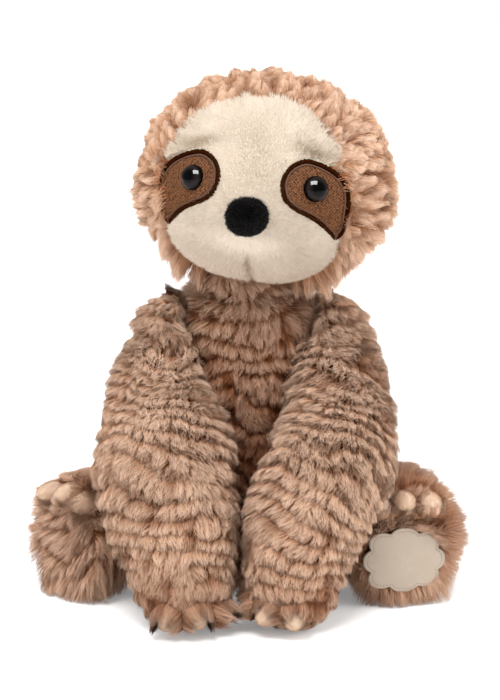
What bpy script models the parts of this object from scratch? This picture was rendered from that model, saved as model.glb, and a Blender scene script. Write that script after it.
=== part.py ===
"""Plush sloth that sits with its arms hanging in front: sewn fur covers over soft filling.

Metres, +Z up. The toy faces -Y, so its own left side is +X. The origin is on the
floor under the middle of the body. Each limb hangs from an empty on its joint axis.
"""

from math import cos, pi, radians, sin

import bmesh
import bpy
import numpy as np
from mathutils import Matrix, Vector
from mathutils.bvhtree import BVHTree

MM = 0.001
SIDES = {"left": 1, "right": -1}
X_AXIS = Vector((1, 0, 0))
Y_AXIS = Vector((0, 1, 0))
Z_AXIS = Vector((0, 0, 1))

# Fits
seam_gap = 0.35 * MM  # between pieces that are sewn or pressed together
swing_gap = 0.6 * MM  # between a limb and the body that it swings on
floor_cut = 0.5 * MM  # what the floor takes off a hand or a foot that stands on it
overrun = 10 * MM  # how far a cutter runs past what it cuts

# Cloth and filling
fur_pile = 5.0 * MM  # brown covers: backing and pile
face_pile = 2.8 * MM  # short cream plush of the face
thread_radius = 0.6 * MM
weld = 0.01 * MM  # points of a turned shape closer than this are one

# Body
neck_height = 150 * MM  # floor to the middle of the neck
neck_radius = 24 * MM
neck_base_angle = radians(-10)  # where the shoulders meet the round of the neck
neck_mouth_angle = radians(65)  # the turning hole at the top of the body cover
body_half_width = 42.5 * MM
body_half_depth = 38.5 * MM
pellet_height = 30 * MM
# share of the height, shares of the half width and half depth, share of the half depth that
# the middle lies back, and how square the section is (2 is an ellipse)
body_shares = (
    (0.00, 0.80, 0.76, 0.08, 2.6),
    (0.04, 0.94, 0.89, 0.08, 2.8),
    (0.12, 0.99, 0.97, 0.08, 3.0),
    (0.24, 1.00, 1.00, 0.08, 3.0),
    (0.47, 0.97, 0.97, 0.08, 2.6),
    (0.63, 0.85, 0.86, 0.06, 2.6),
    (0.77, 0.74, 0.76, 0.03, 3.2),
    (0.87, 0.72, 0.72, 0.00, 3.4),
    (0.94, 0.69, 0.68, 0.00, 2.8),
)

# Neck band
band_gap = 0.4 * MM
band_thickness = 1.6 * MM
band_angles = (radians(12), radians(66))

# Head
head_yaw = radians(-8)
head_roll = radians(4.2)
head_offset = Vector((4.3 * MM, -7 * MM, 51.5 * MM))  # from the neck to the middle of the head
head_half_width = 61 * MM
head_half_depth = 50 * MM
head_half_height = 50 * MM
muzzle_length = 11 * MM
muzzle_half_width = 26 * MM
muzzle_half_height = 19 * MM
muzzle_drop = 12 * MM
face_radius = 44 * MM
face_drop = 2 * MM

# Eyes, nose and mouth
eye_radius = 6 * MM
eye_height = 4.6 * MM
eye_place = (28 * MM, 4 * MM)  # out from the middle and up
eye_stem_radius = 1.3 * MM
eye_stem_length = 11 * MM
washer_radius = 5 * MM
washer_thickness = 1.4 * MM
washer_room = 2.5 * MM  # how far a washer sits under the cloth
nose_half_width = 10 * MM
nose_half_height = 9 * MM
nose_bulge = 6 * MM
nose_drop = 9.5 * MM
mouth_top_drop = 24 * MM
mouth_bottom_drop = 40 * MM
patch_width = 31 * MM
patch_height = 38.5 * MM
patch_place = (13.5 * MM, -21 * MM)  # its inner edge and its lowest tip, from the middle
patch_thickness = 1.0 * MM
edge_width = 3.0 * MM
edge_height = 1.6 * MM
# the tear shape of an eye patch, as shares of its width outwards and of its height upwards
patch_outline_shares = (
    (0.34, 1.00),
    (0.12, 0.94),
    (0.00, 0.78),
    (0.09, 0.57),
    (0.34, 0.38),
    (0.60, 0.20),
    (0.84, 0.00),
    (0.99, 0.14),
    (1.00, 0.42),
    (0.90, 0.70),
    (0.64, 0.92),
)

# Arms
arm_side = 44 * MM  # how far out the widest bend lies
arm_reach = 78 * MM  # how far forward the hand lies
arm_top = 142 * MM
arm_half_width = 33 * MM
arm_half_depth = 22 * MM
arm_round_top_share = 0.11
arm_round_hand_share = 0.13
shoulder_half_width = 29.5 * MM  # how far out the flat of the shoulder lies
shoulder_height = 124 * MM
shoulder_forward = 2 * MM
shoulder_seat_radius = 24 * MM
shoulder_seat_rise = 4.5 * MM
# place along the arm, then shares of how far out, forward and up, and of the two half widths
arm_shares = {
    "right": (
        (0.00, 0.82, 0.02, 1.00, 0.52, 0.70),
        (0.15, 0.88, 0.18, 0.85, 0.53, 0.73),
        (0.33, 1.00, 0.42, 0.69, 0.76, 0.80),
        (0.50, 0.93, 0.68, 0.54, 1.00, 0.92),
        (0.65, 0.84, 0.84, 0.38, 0.92, 1.00),
        (0.79, 0.74, 0.94, 0.24, 0.78, 0.95),
        (1.00, 0.67, 1.01, 0.00, 0.58, 0.82),
    ),
    "left": (
        (0.00, 0.80, 0.02, 1.00, 0.52, 0.70),
        (0.15, 0.86, 0.18, 0.85, 0.52, 0.73),
        (0.33, 0.94, 0.42, 0.69, 0.70, 0.80),
        (0.50, 0.89, 0.68, 0.54, 0.86, 0.92),
        (0.65, 0.63, 0.85, 0.39, 0.86, 1.00),
        (0.79, 0.51, 0.95, 0.25, 0.73, 0.95),
        (1.00, 0.40, 1.02, 0.00, 0.62, 0.82),
    ),
}

# Legs
leg_side = 76 * MM
leg_reach = 42 * MM
foot_half_width = 28 * MM
foot_half_height = 33 * MM
sole_flat_share = 0.80
sole_round_share = 0.14
hip_height = 30 * MM
hip_forward = 0 * MM
hip_seat_radius = 42 * MM
# place along the leg, then shares of how far out, forward and up, and of the two half widths
leg_shares = {
    "right": (
        (0.00, 0.39, -0.08, 0.92, 0.72, 0.64),
        (0.30, 0.66, 0.08, 0.92, 0.80, 0.70),
        (0.60, 0.88, 0.28, 0.96, 0.90, 0.85),
        (0.85, 1.05, 0.52, 1.00, 0.96, 1.00),
        (1.00, 1.15, 0.70, 1.00, 0.96, 1.00),
    ),
    "left": (
        (0.00, 0.39, -0.08, 0.92, 0.72, 0.64),
        (0.30, 0.62, 0.12, 0.92, 0.80, 0.70),
        (0.60, 0.80, 0.41, 0.96, 0.91, 0.85),
        (0.85, 0.93, 0.74, 1.00, 1.00, 1.00),
        (1.00, 0.96, 1.00, 1.00, 1.00, 1.00),
    ),
}

# Claws, three on each hand and foot, and the patch under the left foot
claw_half_width = 5.0 * MM
claw_half_length = 8.0 * MM
claw_sink = 1.0 * MM  # how far inside the surface a claw's middle lies
claw_turn = radians(10)  # about its own length, so that its facets cross those of the limb
foot_claw_pitch = 12.5 * MM
foot_claw_rise = 19 * MM
foot_claw_droop = 1.6 * MM
hand_claw_share = 0.945
hand_claw_tilt = radians(20)
hand_claw_angles = {
    "left": (radians(86), radians(128), radians(172)),
    "right": (radians(26), radians(70), radians(114)),
}
foot_patch_half_width = 20 * MM
foot_patch_half_height = 15.6 * MM
foot_patch_drop = 9.5 * MM
foot_patch_thickness = 1.2 * MM
foot_patch_lobes = 8
foot_patch_lobe_share = 0.17
foot_patch_corner_share = 0.11  # how much further out its lobes at the corners reach

# Facets
BODY_SIDES = 18
BODY_STEPS = 9
DOME_STEPS = 4
LIMB_SIDES = 16
ARM_STEPS = 6
LEG_STEPS = 4
CAP_STEPS = 3
HEAD_SEGMENTS = 22
HEAD_RINGS = 12
CLAW_SEGMENTS = 10
CLAW_RINGS = 6
TURN_STEPS = 14
OUTLINE_STEPS = 2
THREAD_SIDES = 6
THREAD_STEPS = 6
LOBE_STEPS = 6


def colour(red, green, blue):
    """A screen colour, each part from 0 to 1, as the linear colour that a shader takes."""
    return tuple(part**2.2 for part in (red, green, blue)) + (1.0,)


FINISHES = {
    "brown_fur": (colour(0.66, 0.52, 0.43), 0.95, 0.0),
    "cream_plush": (colour(0.90, 0.85, 0.76), 0.95, 0.0),
    "patch_cloth": (colour(0.46, 0.32, 0.24), 0.85, 0.0),
    "patch_thread": (colour(0.26, 0.15, 0.10), 0.70, 0.0),
    "black_flock": (colour(0.07, 0.06, 0.06), 0.95, 0.0),
    "eye_gloss": (colour(0.06, 0.05, 0.05), 0.08, 0.0),
    "washer_plastic": (colour(0.85, 0.85, 0.83), 0.50, 0.0),
    "cream_claw": (colour(0.91, 0.80, 0.68), 0.80, 0.0),
    "beige_leather": (colour(0.80, 0.74, 0.66), 0.55, 0.0),
    "white_filling": (colour(0.94, 0.94, 0.92), 0.95, 0.0),
    "pellet_cloth": (colour(0.88, 0.87, 0.84), 0.90, 0.0),
    "neck_cloth": (colour(0.55, 0.43, 0.36), 0.90, 0.0),
}


def clear_scene():
    for old in list(bpy.data.objects):
        bpy.data.objects.remove(old, do_unlink=True)


def make_collection(name):
    group = bpy.data.collections.new(name)
    bpy.context.scene.collection.children.link(group)
    return group


def make_material(name):
    base, roughness, metallic = FINISHES[name]
    material = bpy.data.materials.new(name)
    material.use_nodes = True
    shader = material.node_tree.nodes["Principled BSDF"]
    shader.inputs["Base Color"].default_value = base
    shader.inputs["Roughness"].default_value = roughness
    shader.inputs["Metallic"].default_value = metallic
    material.diffuse_color = base
    return material


clear_scene()
PARTS = make_collection("plush_sloth")
CUTTERS = make_collection("cutters")
MATERIALS = {name: make_material(name) for name in FINISHES}


# Placing


def add_pivot(name, place, turn=None, parent=None):
    """An empty on a joint axis, placed in its parent's frame."""
    pivot = bpy.data.objects.new(name, None)
    pivot.empty_display_size = neck_radius
    pivot.matrix_local = Matrix.Translation(place) @ (turn or Matrix()).to_4x4()
    pivot.parent = parent
    PARTS.objects.link(pivot)
    return pivot


def add_object(name, shape, pivot, group):
    """Turn a bmesh, in the pivot's own frame, into an object that hangs from the pivot."""
    mesh = bpy.data.meshes.new(name)
    shape.to_mesh(mesh)
    shape.free()
    mesh.shade_smooth()
    thing = bpy.data.objects.new(name, mesh)
    thing.parent = pivot
    group.objects.link(thing)
    return thing


def add_piece(name, shape, pivot, finish):
    thing = add_object(name, shape, pivot, PARTS)
    thing.data.materials.append(MATERIALS[finish])
    return thing


def add_cutter(name, shape, pivot):
    thing = add_object(name, shape, pivot, CUTTERS)
    thing.hide_render = True
    thing.display_type = "WIRE"
    return thing


def cut(thing, cutter, operation="DIFFERENCE"):
    step = thing.modifiers.new(cutter.name, "BOOLEAN")
    step.object = cutter
    step.operation = operation


def hollow(thing, thickness):
    """Make a surface into a shell that reaches inwards from it."""
    step = thing.modifiers.new("cloth", "SOLIDIFY")
    step.thickness = thickness
    step.offset = -1


def moved(shape, matrix):
    bmesh.ops.transform(shape, matrix=matrix, verts=shape.verts)
    return shape


# Shapes


def read_smoothly(rows, place):
    """Read a table of rows, each a place and its values, on a smooth curve through the rows."""
    rows = np.array(rows)
    places = rows[:, 0]
    last = len(rows) - 2
    i = int(np.clip(np.searchsorted(places, place) - 1, 0, last))
    slopes = np.gradient(rows, places, axis=0)
    span = places[i + 1] - places[i]
    t = (place - places[i]) / span
    value = (2 * t**3 - 3 * t**2 + 1) * rows[i] + (3 * t**2 - 2 * t**3) * rows[i + 1]
    value += (t**3 - 2 * t**2 + t) * span * slopes[i] + (t**3 - t**2) * span * slopes[i + 1]
    return value[1:]


def squared(value, squareness):
    """One coordinate of a rounded square: 2 gives a circle's, and more is squarer."""
    return np.sign(value) * abs(value) ** (2 / squareness)


def oval_ring(middle, across, upwards, half_across, half_up, sides, squareness=2):
    ring = []
    for i in range(sides):
        turn = 2 * pi * i / sides
        out = across * (half_across * squared(cos(turn), squareness))
        rise = upwards * (half_up * squared(sin(turn), squareness))
        ring.append(middle + out + rise)
    return ring


def skin(rings, start=None, end=None, cap_start=False, cap_end=False):
    """Skin a row of rings. An end is a single point, a flat cap, or open."""
    shape = bmesh.new()
    loops = [[shape.verts.new(point) for point in ring] for ring in rings]
    count = len(rings[0])
    for a, b in zip(loops, loops[1:]):
        for i in range(count):
            j = (i + 1) % count
            shape.faces.new((a[i], a[j], b[j], b[i]))
    if start is not None:
        tip = shape.verts.new(start)
        for i in range(count):
            shape.faces.new((tip, loops[0][(i + 1) % count], loops[0][i]))
    if end is not None:
        tip = shape.verts.new(end)
        for i in range(count):
            shape.faces.new((tip, loops[-1][i], loops[-1][(i + 1) % count]))
    if cap_start:
        shape.faces.new(list(reversed(loops[0])))
    if cap_end:
        shape.faces.new(loops[-1])
    bmesh.ops.triangulate(shape, faces=shape.faces, quad_method="FIXED")
    shape.normal_update()
    return shape


def swollen(shape, distance):
    """Move a surface outwards along its normals, or inwards by a negative distance."""
    shape.normal_update()
    shifts = [vertex.normal * distance for vertex in shape.verts]
    for vertex, shift in zip(shape.verts, shifts):
        vertex.co += shift
    return shape


def capped(shape):
    """Close the open end of a surface with a flat cap."""
    bmesh.ops.holes_fill(shape, edges=shape.edges, sides=0)
    bmesh.ops.triangulate(shape, faces=shape.faces, quad_method="FIXED")
    return shape


def add_turned(name, profile, pivot, group, finish=None, closed=False):
    """A shape turned about its own Z axis from a profile of (radius, height), top to bottom."""
    shape = bmesh.new()
    points = [shape.verts.new((radius, 0, height)) for radius, height in profile]
    ends = points[1:] + points[:1] if closed else points[1:]
    for a, b in zip(points, ends):
        shape.edges.new((a, b))
    thing = add_object(name, shape, pivot, group)
    step = thing.modifiers.new("turned", "SCREW")
    step.steps = TURN_STEPS
    step.render_steps = TURN_STEPS
    step.use_merge_vertices = True
    step.merge_threshold = weld
    if finish:
        thing.data.materials.append(MATERIALS[finish])
    else:
        thing.hide_render = True
        thing.display_type = "WIRE"
    return thing


# Body


def body_rings(last_angle):
    """Rings of the body from the floor to a latitude of the round neck."""
    base_height = neck_height + neck_radius * sin(neck_base_angle)
    base_radius = neck_radius * cos(neck_base_angle)
    rows = body_shares + ((1.0, base_radius / body_half_width, base_radius / body_half_depth, 0.0, 2.0),)
    rings = []
    for place in body_places():
        width, depth, back, squareness = read_smoothly(rows, place)
        middle = Vector((0, back * body_half_depth, place * base_height))
        half_width = width * body_half_width
        half_depth = depth * body_half_depth
        rings.append(oval_ring(middle, X_AXIS, Y_AXIS, half_width, half_depth, BODY_SIDES, squareness))
    for i in range(1, DOME_STEPS + 1):
        angle = neck_base_angle + (last_angle - neck_base_angle) * i / DOME_STEPS
        middle = Vector((0, 0, neck_height + neck_radius * sin(angle)))
        radius = neck_radius * cos(angle)
        rings.append(oval_ring(middle, X_AXIS, Y_AXIS, radius, radius, BODY_SIDES))
    return rings


def body_places():
    """The heights of the body's rings as shares: two close ones round its lower edge."""
    first = [row[0] for row in body_shares[:2]]
    start = body_shares[2][0]
    return first + [start + (1 - start) * i / BODY_STEPS for i in range(BODY_STEPS + 1)]


def body_form():
    top = Vector((0, 0, neck_height + neck_radius))
    return skin(body_rings(neck_mouth_angle), end=top, cap_start=True)


def open_body_form():
    return skin(body_rings(neck_mouth_angle), cap_start=True)


def slab(low, high, half_size):
    """A block from one height to another, wide enough to cut any piece."""
    shape = bmesh.new()
    bmesh.ops.create_cube(shape, size=1)
    size = Matrix.Diagonal((2 * half_size, 2 * half_size, high - low, 1))
    return moved(shape, Matrix.Translation((0, 0, (low + high) / 2)) @ size)


def make_body(root):
    cover = add_piece("torso_cover", open_body_form(), root, "brown_fur")
    hollow(cover, fur_pile)
    inset = -(fur_pile + seam_gap)
    half_size = body_half_width + overrun
    below = add_cutter("pellet_space", slab(-overrun, pellet_height + seam_gap, half_size), root)
    above = add_cutter("filling_space", slab(pellet_height, neck_height + half_size, half_size), root)
    filling = add_piece("torso_stuffing", swollen(body_form(), inset), root, "white_filling")
    cut(filling, below)
    pellets = add_piece("pellet_bag", swollen(body_form(), inset), root, "pellet_cloth")
    cut(pellets, above)


def make_neck(neck):
    """A band of cloth that turns on the round of the neck, inside the head's opening."""
    radius = neck_radius + band_gap
    shape = bmesh.new()
    low, high = band_angles
    steps = DOME_STEPS + 1
    points = []
    for i in range(steps + 1):
        angle = high + (low - high) * i / steps
        points.append(shape.verts.new((radius * cos(angle), 0, radius * sin(angle))))
    for a, b in zip(points, points[1:]):
        shape.edges.new((a, b))
    band = add_piece("neck_band", shape, neck, "neck_cloth")
    turned = band.modifiers.new("turned", "SCREW")
    turned.steps = BODY_SIDES
    turned.render_steps = BODY_SIDES
    cloth = band.modifiers.new("cloth", "SOLIDIFY")
    cloth.thickness = band_thickness
    cloth.offset = 1


# Head


def head_form(swell=0.0):
    """The head about its own middle: an egg with a muzzle pushed out below the eyes."""
    shape = bmesh.new()
    bmesh.ops.create_uvsphere(shape, u_segments=HEAD_SEGMENTS, v_segments=HEAD_RINGS, radius=1)
    for vertex in shape.verts:
        front = max(0.0, -vertex.co.y)
        x = vertex.co.x * head_half_width
        z = vertex.co.z * head_half_height
        spread = (x / muzzle_half_width) ** 2 + ((z + muzzle_drop) / muzzle_half_height) ** 2
        push = muzzle_length * float(np.exp(-spread / 2)) * front**0.5
        vertex.co = (x, vertex.co.y * head_half_depth - push, z)
    bmesh.ops.triangulate(shape, faces=shape.faces, quad_method="FIXED")
    if swell:
        swollen(shape, swell)
    return moved(shape, Matrix.Translation(head_offset))


def face_depth(x, z, swell):
    """How far forward the head's surface lies at a place on the face, swollen by a distance."""
    form = head_form(swell)
    tree = BVHTree.FromBMesh(form)
    start = head_offset + Vector((x, -2 * head_half_width, z))
    place, normal, _, _ = tree.ray_cast(start, Y_AXIS)
    form.free()
    return place, normal


def prism(outline, drop=0.0):
    """A block along Y with a given outline of (x, z) points, through the face."""
    front = -(head_half_depth + muzzle_length + overrun)
    rings = []
    for y in (front, 0.0):
        rings.append([head_offset + Vector((x, y, z - drop)) for x, z in outline])
    return skin(rings, cap_start=True, cap_end=True)


def face_outline(inset=0.0):
    count = 2 * HEAD_SEGMENTS
    radius = face_radius - inset
    return [(radius * cos(2 * pi * i / count), -radius * sin(2 * pi * i / count)) for i in range(count)]


def patch_outline(side, inset=0.0):
    """The eye patch's outline, a closed smooth curve through its shares, drawn in to its middle."""
    size = np.array((patch_width, patch_height))
    shares = (np.array(patch_outline_shares) - 0.5) * (1 - 2 * inset / size) + 0.5
    knots = shares * size + patch_place
    count = len(knots)
    curve = []
    for i in range(count):
        before, a, b, after = (knots[(i + k) % count] for k in (-1, 0, 1, 2))
        for step in range(OUTLINE_STEPS):
            t = step / OUTLINE_STEPS
            bend = (2 * before - 5 * a + 4 * b - after) * t**2 + (3 * a - before - 3 * b + after) * t**3
            curve.append(a + 0.5 * ((b - before) * t + bend))
    if side > 0:
        return [tuple(point) for point in reversed(curve)]
    return [(-x, z) for x, z in curve]


def make_layer(name, low, high, pivot, finish):
    """A closed shell of cloth that follows the head, between two heights over its surface."""
    layer = add_piece(name, head_form(high), pivot, finish)
    hollow(layer, high - low)
    return layer


def make_head(head):
    face_top = face_pile - fur_pile
    socket_radius = neck_radius + band_gap + band_thickness + band_gap
    socket_shape = bmesh.new()
    sides = BODY_SIDES
    bmesh.ops.create_uvsphere(socket_shape, u_segments=sides, v_segments=sides, radius=socket_radius)
    socket = add_cutter("neck_socket", socket_shape, head)
    face_hole = add_cutter("face_hole", prism(face_outline(-seam_gap), face_drop), head)
    face_block = add_cutter("face_block", prism(face_outline(), face_drop), head)

    cover = add_piece("head_cover", head_form(), head, "brown_fur")
    hollow(cover, fur_pile)
    cut(cover, face_hole)
    cut(cover, socket)
    face = make_layer("face_panel", -fur_pile, face_top, head, "cream_plush")
    cut(face, face_block, "INTERSECT")
    cut(face, socket)
    filling = add_piece("head_stuffing", head_form(-fur_pile - seam_gap), head, "white_filling")
    cut(filling, socket)

    for name, side in SIDES.items():
        make_eye(name, side, head, face, filling, face_top)
    make_nose(head, face, filling, face_top)
    make_mouth(head, face_top)


def stud_frame(place, normal):
    """The frame of a stud: its Z axis points out of the face."""
    return Matrix.Translation(place) @ normal.to_track_quat("Z", "Y").to_matrix().to_4x4()


def dome_profile(radius, height, stem_radius, stem_length):
    """A dome on a stem, from its tip down: the dome's foot is at height zero."""
    steps = DOME_STEPS
    points = [(radius * sin(pi / 2 * i / steps), height * cos(pi / 2 * i / steps)) for i in range(steps + 1)]
    return points + [(stem_radius, 0), (stem_radius, -stem_length), (0, -stem_length)]


def stud_lift(radius, bend):
    """How far a stud's flat foot stands off a surface that bends away under it."""
    return seam_gap + radius**2 / (2 * bend)


def add_stud(name, place, normal, radius, height, bend, pivot, finish):
    """A dome on a stem that stands on the face, with the bore that its stem runs in."""
    frame = stud_frame(place + normal * stud_lift(radius, bend), normal)
    shape = dome_profile(radius, height, eye_stem_radius, eye_stem_length)
    stud = add_turned(name, shape, pivot, PARTS, finish)
    stud.matrix_local = frame
    wide, end = eye_stem_radius + seam_gap, -eye_stem_length - seam_gap
    room = ((0, overrun), (wide, overrun), (wide, end), (0, end))
    bore = add_turned(name + "_bore", room, pivot, CUTTERS)
    bore.matrix_local = frame
    return frame, bore


def add_washer(name, depth, frame, pivot, filling):
    """The ring that holds a stud from inside, in a pocket of the filling that also takes the stem."""
    bore_radius, end = eye_stem_radius + seam_gap, -eye_stem_length - seam_gap
    top = -depth - washer_room
    bottom = top - washer_thickness
    profile = ((bore_radius, top), (washer_radius, top), (washer_radius, bottom), (bore_radius, bottom))
    ring = add_turned(name, profile, pivot, PARTS, "washer_plastic", closed=True)
    ring.matrix_local = frame
    wide, floor = washer_radius + seam_gap, bottom - seam_gap
    profile = (
        (0, overrun),
        (wide, overrun),
        (wide, floor),
        (bore_radius, floor),
        (bore_radius, end),
        (0, end),
    )
    pocket = add_turned(name + "_pocket", profile, pivot, CUTTERS)
    pocket.matrix_local = frame
    cut(filling, pocket)


def make_eye(name, side, head, face, filling, face_top):
    """A glossy stud eye on a tear-shaped cloth patch with a sewn edge."""
    low = face_top + seam_gap
    inside_face = add_cutter("face_room_" + name, prism(face_outline(seam_gap), face_drop), head)
    whole = add_cutter("patch_whole_" + name, prism(patch_outline(side)), head)
    inner = add_cutter("patch_inner_" + name, prism(patch_outline(side, edge_width)), head)
    cloth_room = prism(patch_outline(side, edge_width + seam_gap))
    cloth_block = add_cutter("patch_block_" + name, cloth_room, head)

    patch = make_layer("eye_patch_" + name, low, low + patch_thickness, head, "patch_cloth")
    cut(patch, cloth_block, "INTERSECT")
    cut(patch, inside_face, "INTERSECT")
    edge = make_layer("eye_patch_edge_" + name, low, low + edge_height, head, "patch_thread")
    cut(edge, whole, "INTERSECT")
    cut(edge, inner)
    cut(edge, inside_face, "INTERSECT")

    out, up = eye_place
    place, normal = face_depth(side * out, up, low + patch_thickness)
    bend = head_half_depth - fur_pile
    frame, bore = add_stud("eye_" + name, place, normal, eye_radius, eye_height, bend, head, "eye_gloss")
    cut(patch, bore)
    cut(face, bore)
    under = patch_thickness + seam_gap + face_pile
    depth = stud_lift(eye_radius, bend) + under + stud_lift(washer_radius, bend)
    add_washer("eye_washer_" + name, depth, frame, head, filling)


def make_nose(head, face, filling, face_top):
    """A flocked nose, wider than high, on a stem of its own."""
    place, normal = face_depth(0, -nose_drop, face_top)
    bend = head_half_depth - muzzle_length - fur_pile
    frame, bore = add_stud("nose", place, normal, nose_half_width, nose_bulge, bend, head, "black_flock")
    squash = Matrix.Diagonal((1, nose_half_height / nose_half_width, 1, 1))
    nose = bpy.data.objects["nose"]
    nose.matrix_local = frame @ squash
    cut(face, bore)
    depth = stud_lift(nose_half_width, bend) + face_pile + stud_lift(washer_radius, bend)
    add_washer("nose_washer", depth, frame, head, filling)


def make_mouth(head, face_top):
    """A thread drawn down the middle of the muzzle."""
    drops = np.linspace(mouth_top_drop, mouth_bottom_drop, THREAD_STEPS)
    rings = []
    for drop in drops:
        place, normal = face_depth(0, -float(drop), face_top)
        middle = place + normal * (2 * seam_gap + thread_radius)
        rings.append(oval_ring(middle, X_AXIS, normal, thread_radius, thread_radius, THREAD_SIDES))
    add_piece("mouth_thread", skin(rings, cap_start=True, cap_end=True), head, "patch_thread")


# Arms and legs


def place_on(rows, place, scales):
    """A point of a limb's middle line and its two half widths there."""
    values = read_smoothly(rows, place) * scales
    return Vector(values[:3]), values[3], values[4]


def limb_frame(rows, place, scales, forward):
    """The axes of a limb's section: across it, the way that forward leans, and along it."""
    step = 0.01
    ahead = place_on(rows, min(1, place + step), scales)[0]
    behind = place_on(rows, max(0, place - step), scales)[0]
    along = (ahead - behind).normalized()
    rise = (forward - along * forward.dot(along)).normalized()
    return rise.cross(along), rise, along


def limb_ring(rows, place, scales, forward, fullness):
    middle, half_across, half_rise = place_on(rows, place, scales)
    across, rise, _ = limb_frame(rows, place, scales, forward)
    return oval_ring(middle, across, rise, half_across * fullness, half_rise * fullness, LIMB_SIDES)


def arm_scales(side):
    height = arm_top + floor_cut
    return np.array((side * arm_side, -arm_reach, height, arm_half_width, arm_half_depth))


def arm_form(name, side):
    """An arm, round at both ends, with its hand's end just under the floor."""
    rows = np.array(arm_shares[name])
    scales = arm_scales(side)
    down = Vector((0, 0, -floor_cut))
    top, hand = arm_round_top_share, arm_round_hand_share
    places = [(top * (1 - cos(turn)), sin(turn)) for turn in cap_turns()]
    places += [(top + (1 - top - hand) * i / ARM_STEPS, 1.0) for i in range(ARM_STEPS + 1)]
    places += [(1 - hand * (1 - cos(turn)), sin(turn)) for turn in reversed(cap_turns())]
    rings = [limb_ring(rows, place, scales, -Y_AXIS, fullness) for place, fullness in places]
    ends = [place_on(rows, place, scales)[0] for place in (0, 1)]
    return moved(skin(rings, start=ends[0], end=ends[1]), Matrix.Translation(down))


def cap_turns():
    return [pi / 2 * i / CAP_STEPS for i in range(1, CAP_STEPS)]


def leg_scales(side):
    height = foot_half_height - floor_cut
    return np.array((side * leg_side, -leg_reach, height, foot_half_width, foot_half_height))


def leg_form(name, side):
    """A leg from its open root inside the body out to a foot with a flat sole that faces forward."""
    rows = np.array(leg_shares[name])
    scales = leg_scales(side)
    places = [((1 - sole_round_share) * i / LEG_STEPS, 1.0) for i in range(LEG_STEPS + 1)]
    for i in range(1, CAP_STEPS + 1):
        turn = pi / 2 * i / CAP_STEPS
        place = 1 - sole_round_share * (1 - sin(turn))
        places.append((place, sole_flat_share + (1 - sole_flat_share) * cos(turn)))
    rings = [limb_ring(rows, place, scales, Z_AXIS, fullness) for place, fullness in places]
    return skin(rings, cap_end=True)


def claw_form(swell):
    shape = bmesh.new()
    bmesh.ops.create_uvsphere(shape, u_segments=CLAW_SEGMENTS, v_segments=CLAW_RINGS, radius=1)
    half_width = claw_half_width + swell
    size = Matrix.Diagonal((half_width, half_width, claw_half_length + swell, 1))
    return moved(shape, size @ Matrix.Rotation(claw_turn, 4, "Z"))


def add_claws(kind, frames, pivot, carriers):
    """Stuffed claws, each sewn into a pocket of the limb that carries it."""
    for i, frame in enumerate(frames, 1):
        name = f"{kind}_{i}"
        add_piece(name, moved(claw_form(0), frame), pivot, "cream_claw")
        pocket = add_cutter(name + "_pocket", moved(claw_form(seam_gap), frame), pivot)
        for carrier in carriers:
            cut(carrier, pocket)


def add_seat(name, pivot, side, radius, rise):
    """The shallow cone on the joint's axis, inside which the body lies and the limb does not.

    The rise says how much further out from the body its edge stands than its middle.
    """
    edge = swing_gap + rise
    inner = edge - body_half_width
    profile = ((0, swing_gap), (radius, edge), (radius, inner), (0, inner))
    seat = add_turned(f"{name}_seat", profile, pivot, CUTTERS)
    seat.matrix_local = Matrix.Rotation(side * pi / 2, 4, "Y")
    return seat


def add_body_cutter(name, pivot, hinge):
    shape = moved(swollen(body_form(), swing_gap), Matrix.Translation(-hinge))
    return add_cutter(f"{name}_clears_body", shape, pivot)


def make_limb(name, shapes, pivot, hinge, cutters):
    """The cover and the filling of a limb, both cut by what it must clear."""
    to_hinge = Matrix.Translation(-hinge)
    cover = add_piece(name.format("cover"), moved(shapes[0], to_hinge), pivot, "brown_fur")
    hollow(cover, fur_pile)
    inset = capped(swollen(shapes[1], -(fur_pile + seam_gap)))
    filling = add_piece(name.format("stuffing"), moved(inset, to_hinge), pivot, "white_filling")
    for piece in (cover, filling):
        for cutter in cutters:
            cut(piece, cutter)
    return cover, filling


def floor_cutter(name, pivot, hinge):
    half_size = 4 * body_half_width
    return add_cutter(name, moved(slab(-overrun, 0, half_size), Matrix.Translation(-hinge)), pivot)


def make_arm(name, side, root):
    hinge = Vector((side * shoulder_half_width, -shoulder_forward, shoulder_height))
    pivot = add_pivot("shoulder_" + name, hinge, parent=root)
    cutters = [add_body_cutter("arm_" + name, pivot, hinge)]
    cutters.append(add_seat("arm_" + name, pivot, side, shoulder_seat_radius, shoulder_seat_rise))
    cutters.append(floor_cutter(f"arm_{name}_floor", pivot, hinge))
    shapes = (arm_form(name, side), arm_form(name, side))
    pieces = make_limb("arm_{}_" + name, shapes, pivot, hinge, cutters)

    rows = np.array(arm_shares[name])
    scales = arm_scales(side)
    middle, half_across, half_rise = place_on(rows, hand_claw_share, scales)
    across, rise, along = limb_frame(rows, hand_claw_share, scales, -Y_AXIS)
    rounding = 1 - (1 - hand_claw_share) / arm_round_hand_share
    fullness = (1 - rounding**2) ** 0.5
    frames = []
    for angle in hand_claw_angles[name]:
        out = (across * (cos(angle) / half_across) + rise * (sin(angle) / half_rise)).normalized()
        edge = (across * (cos(angle) * half_across) + rise * (sin(angle) * half_rise)) * fullness
        pointing = (out * cos(hand_claw_tilt) + along * sin(hand_claw_tilt)).normalized()
        place = middle + edge - out * claw_sink - Vector((0, 0, floor_cut)) - hinge
        frames.append(stud_frame(place, pointing))
    add_claws("hand_claw_" + name, frames, pivot, pieces)


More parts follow.
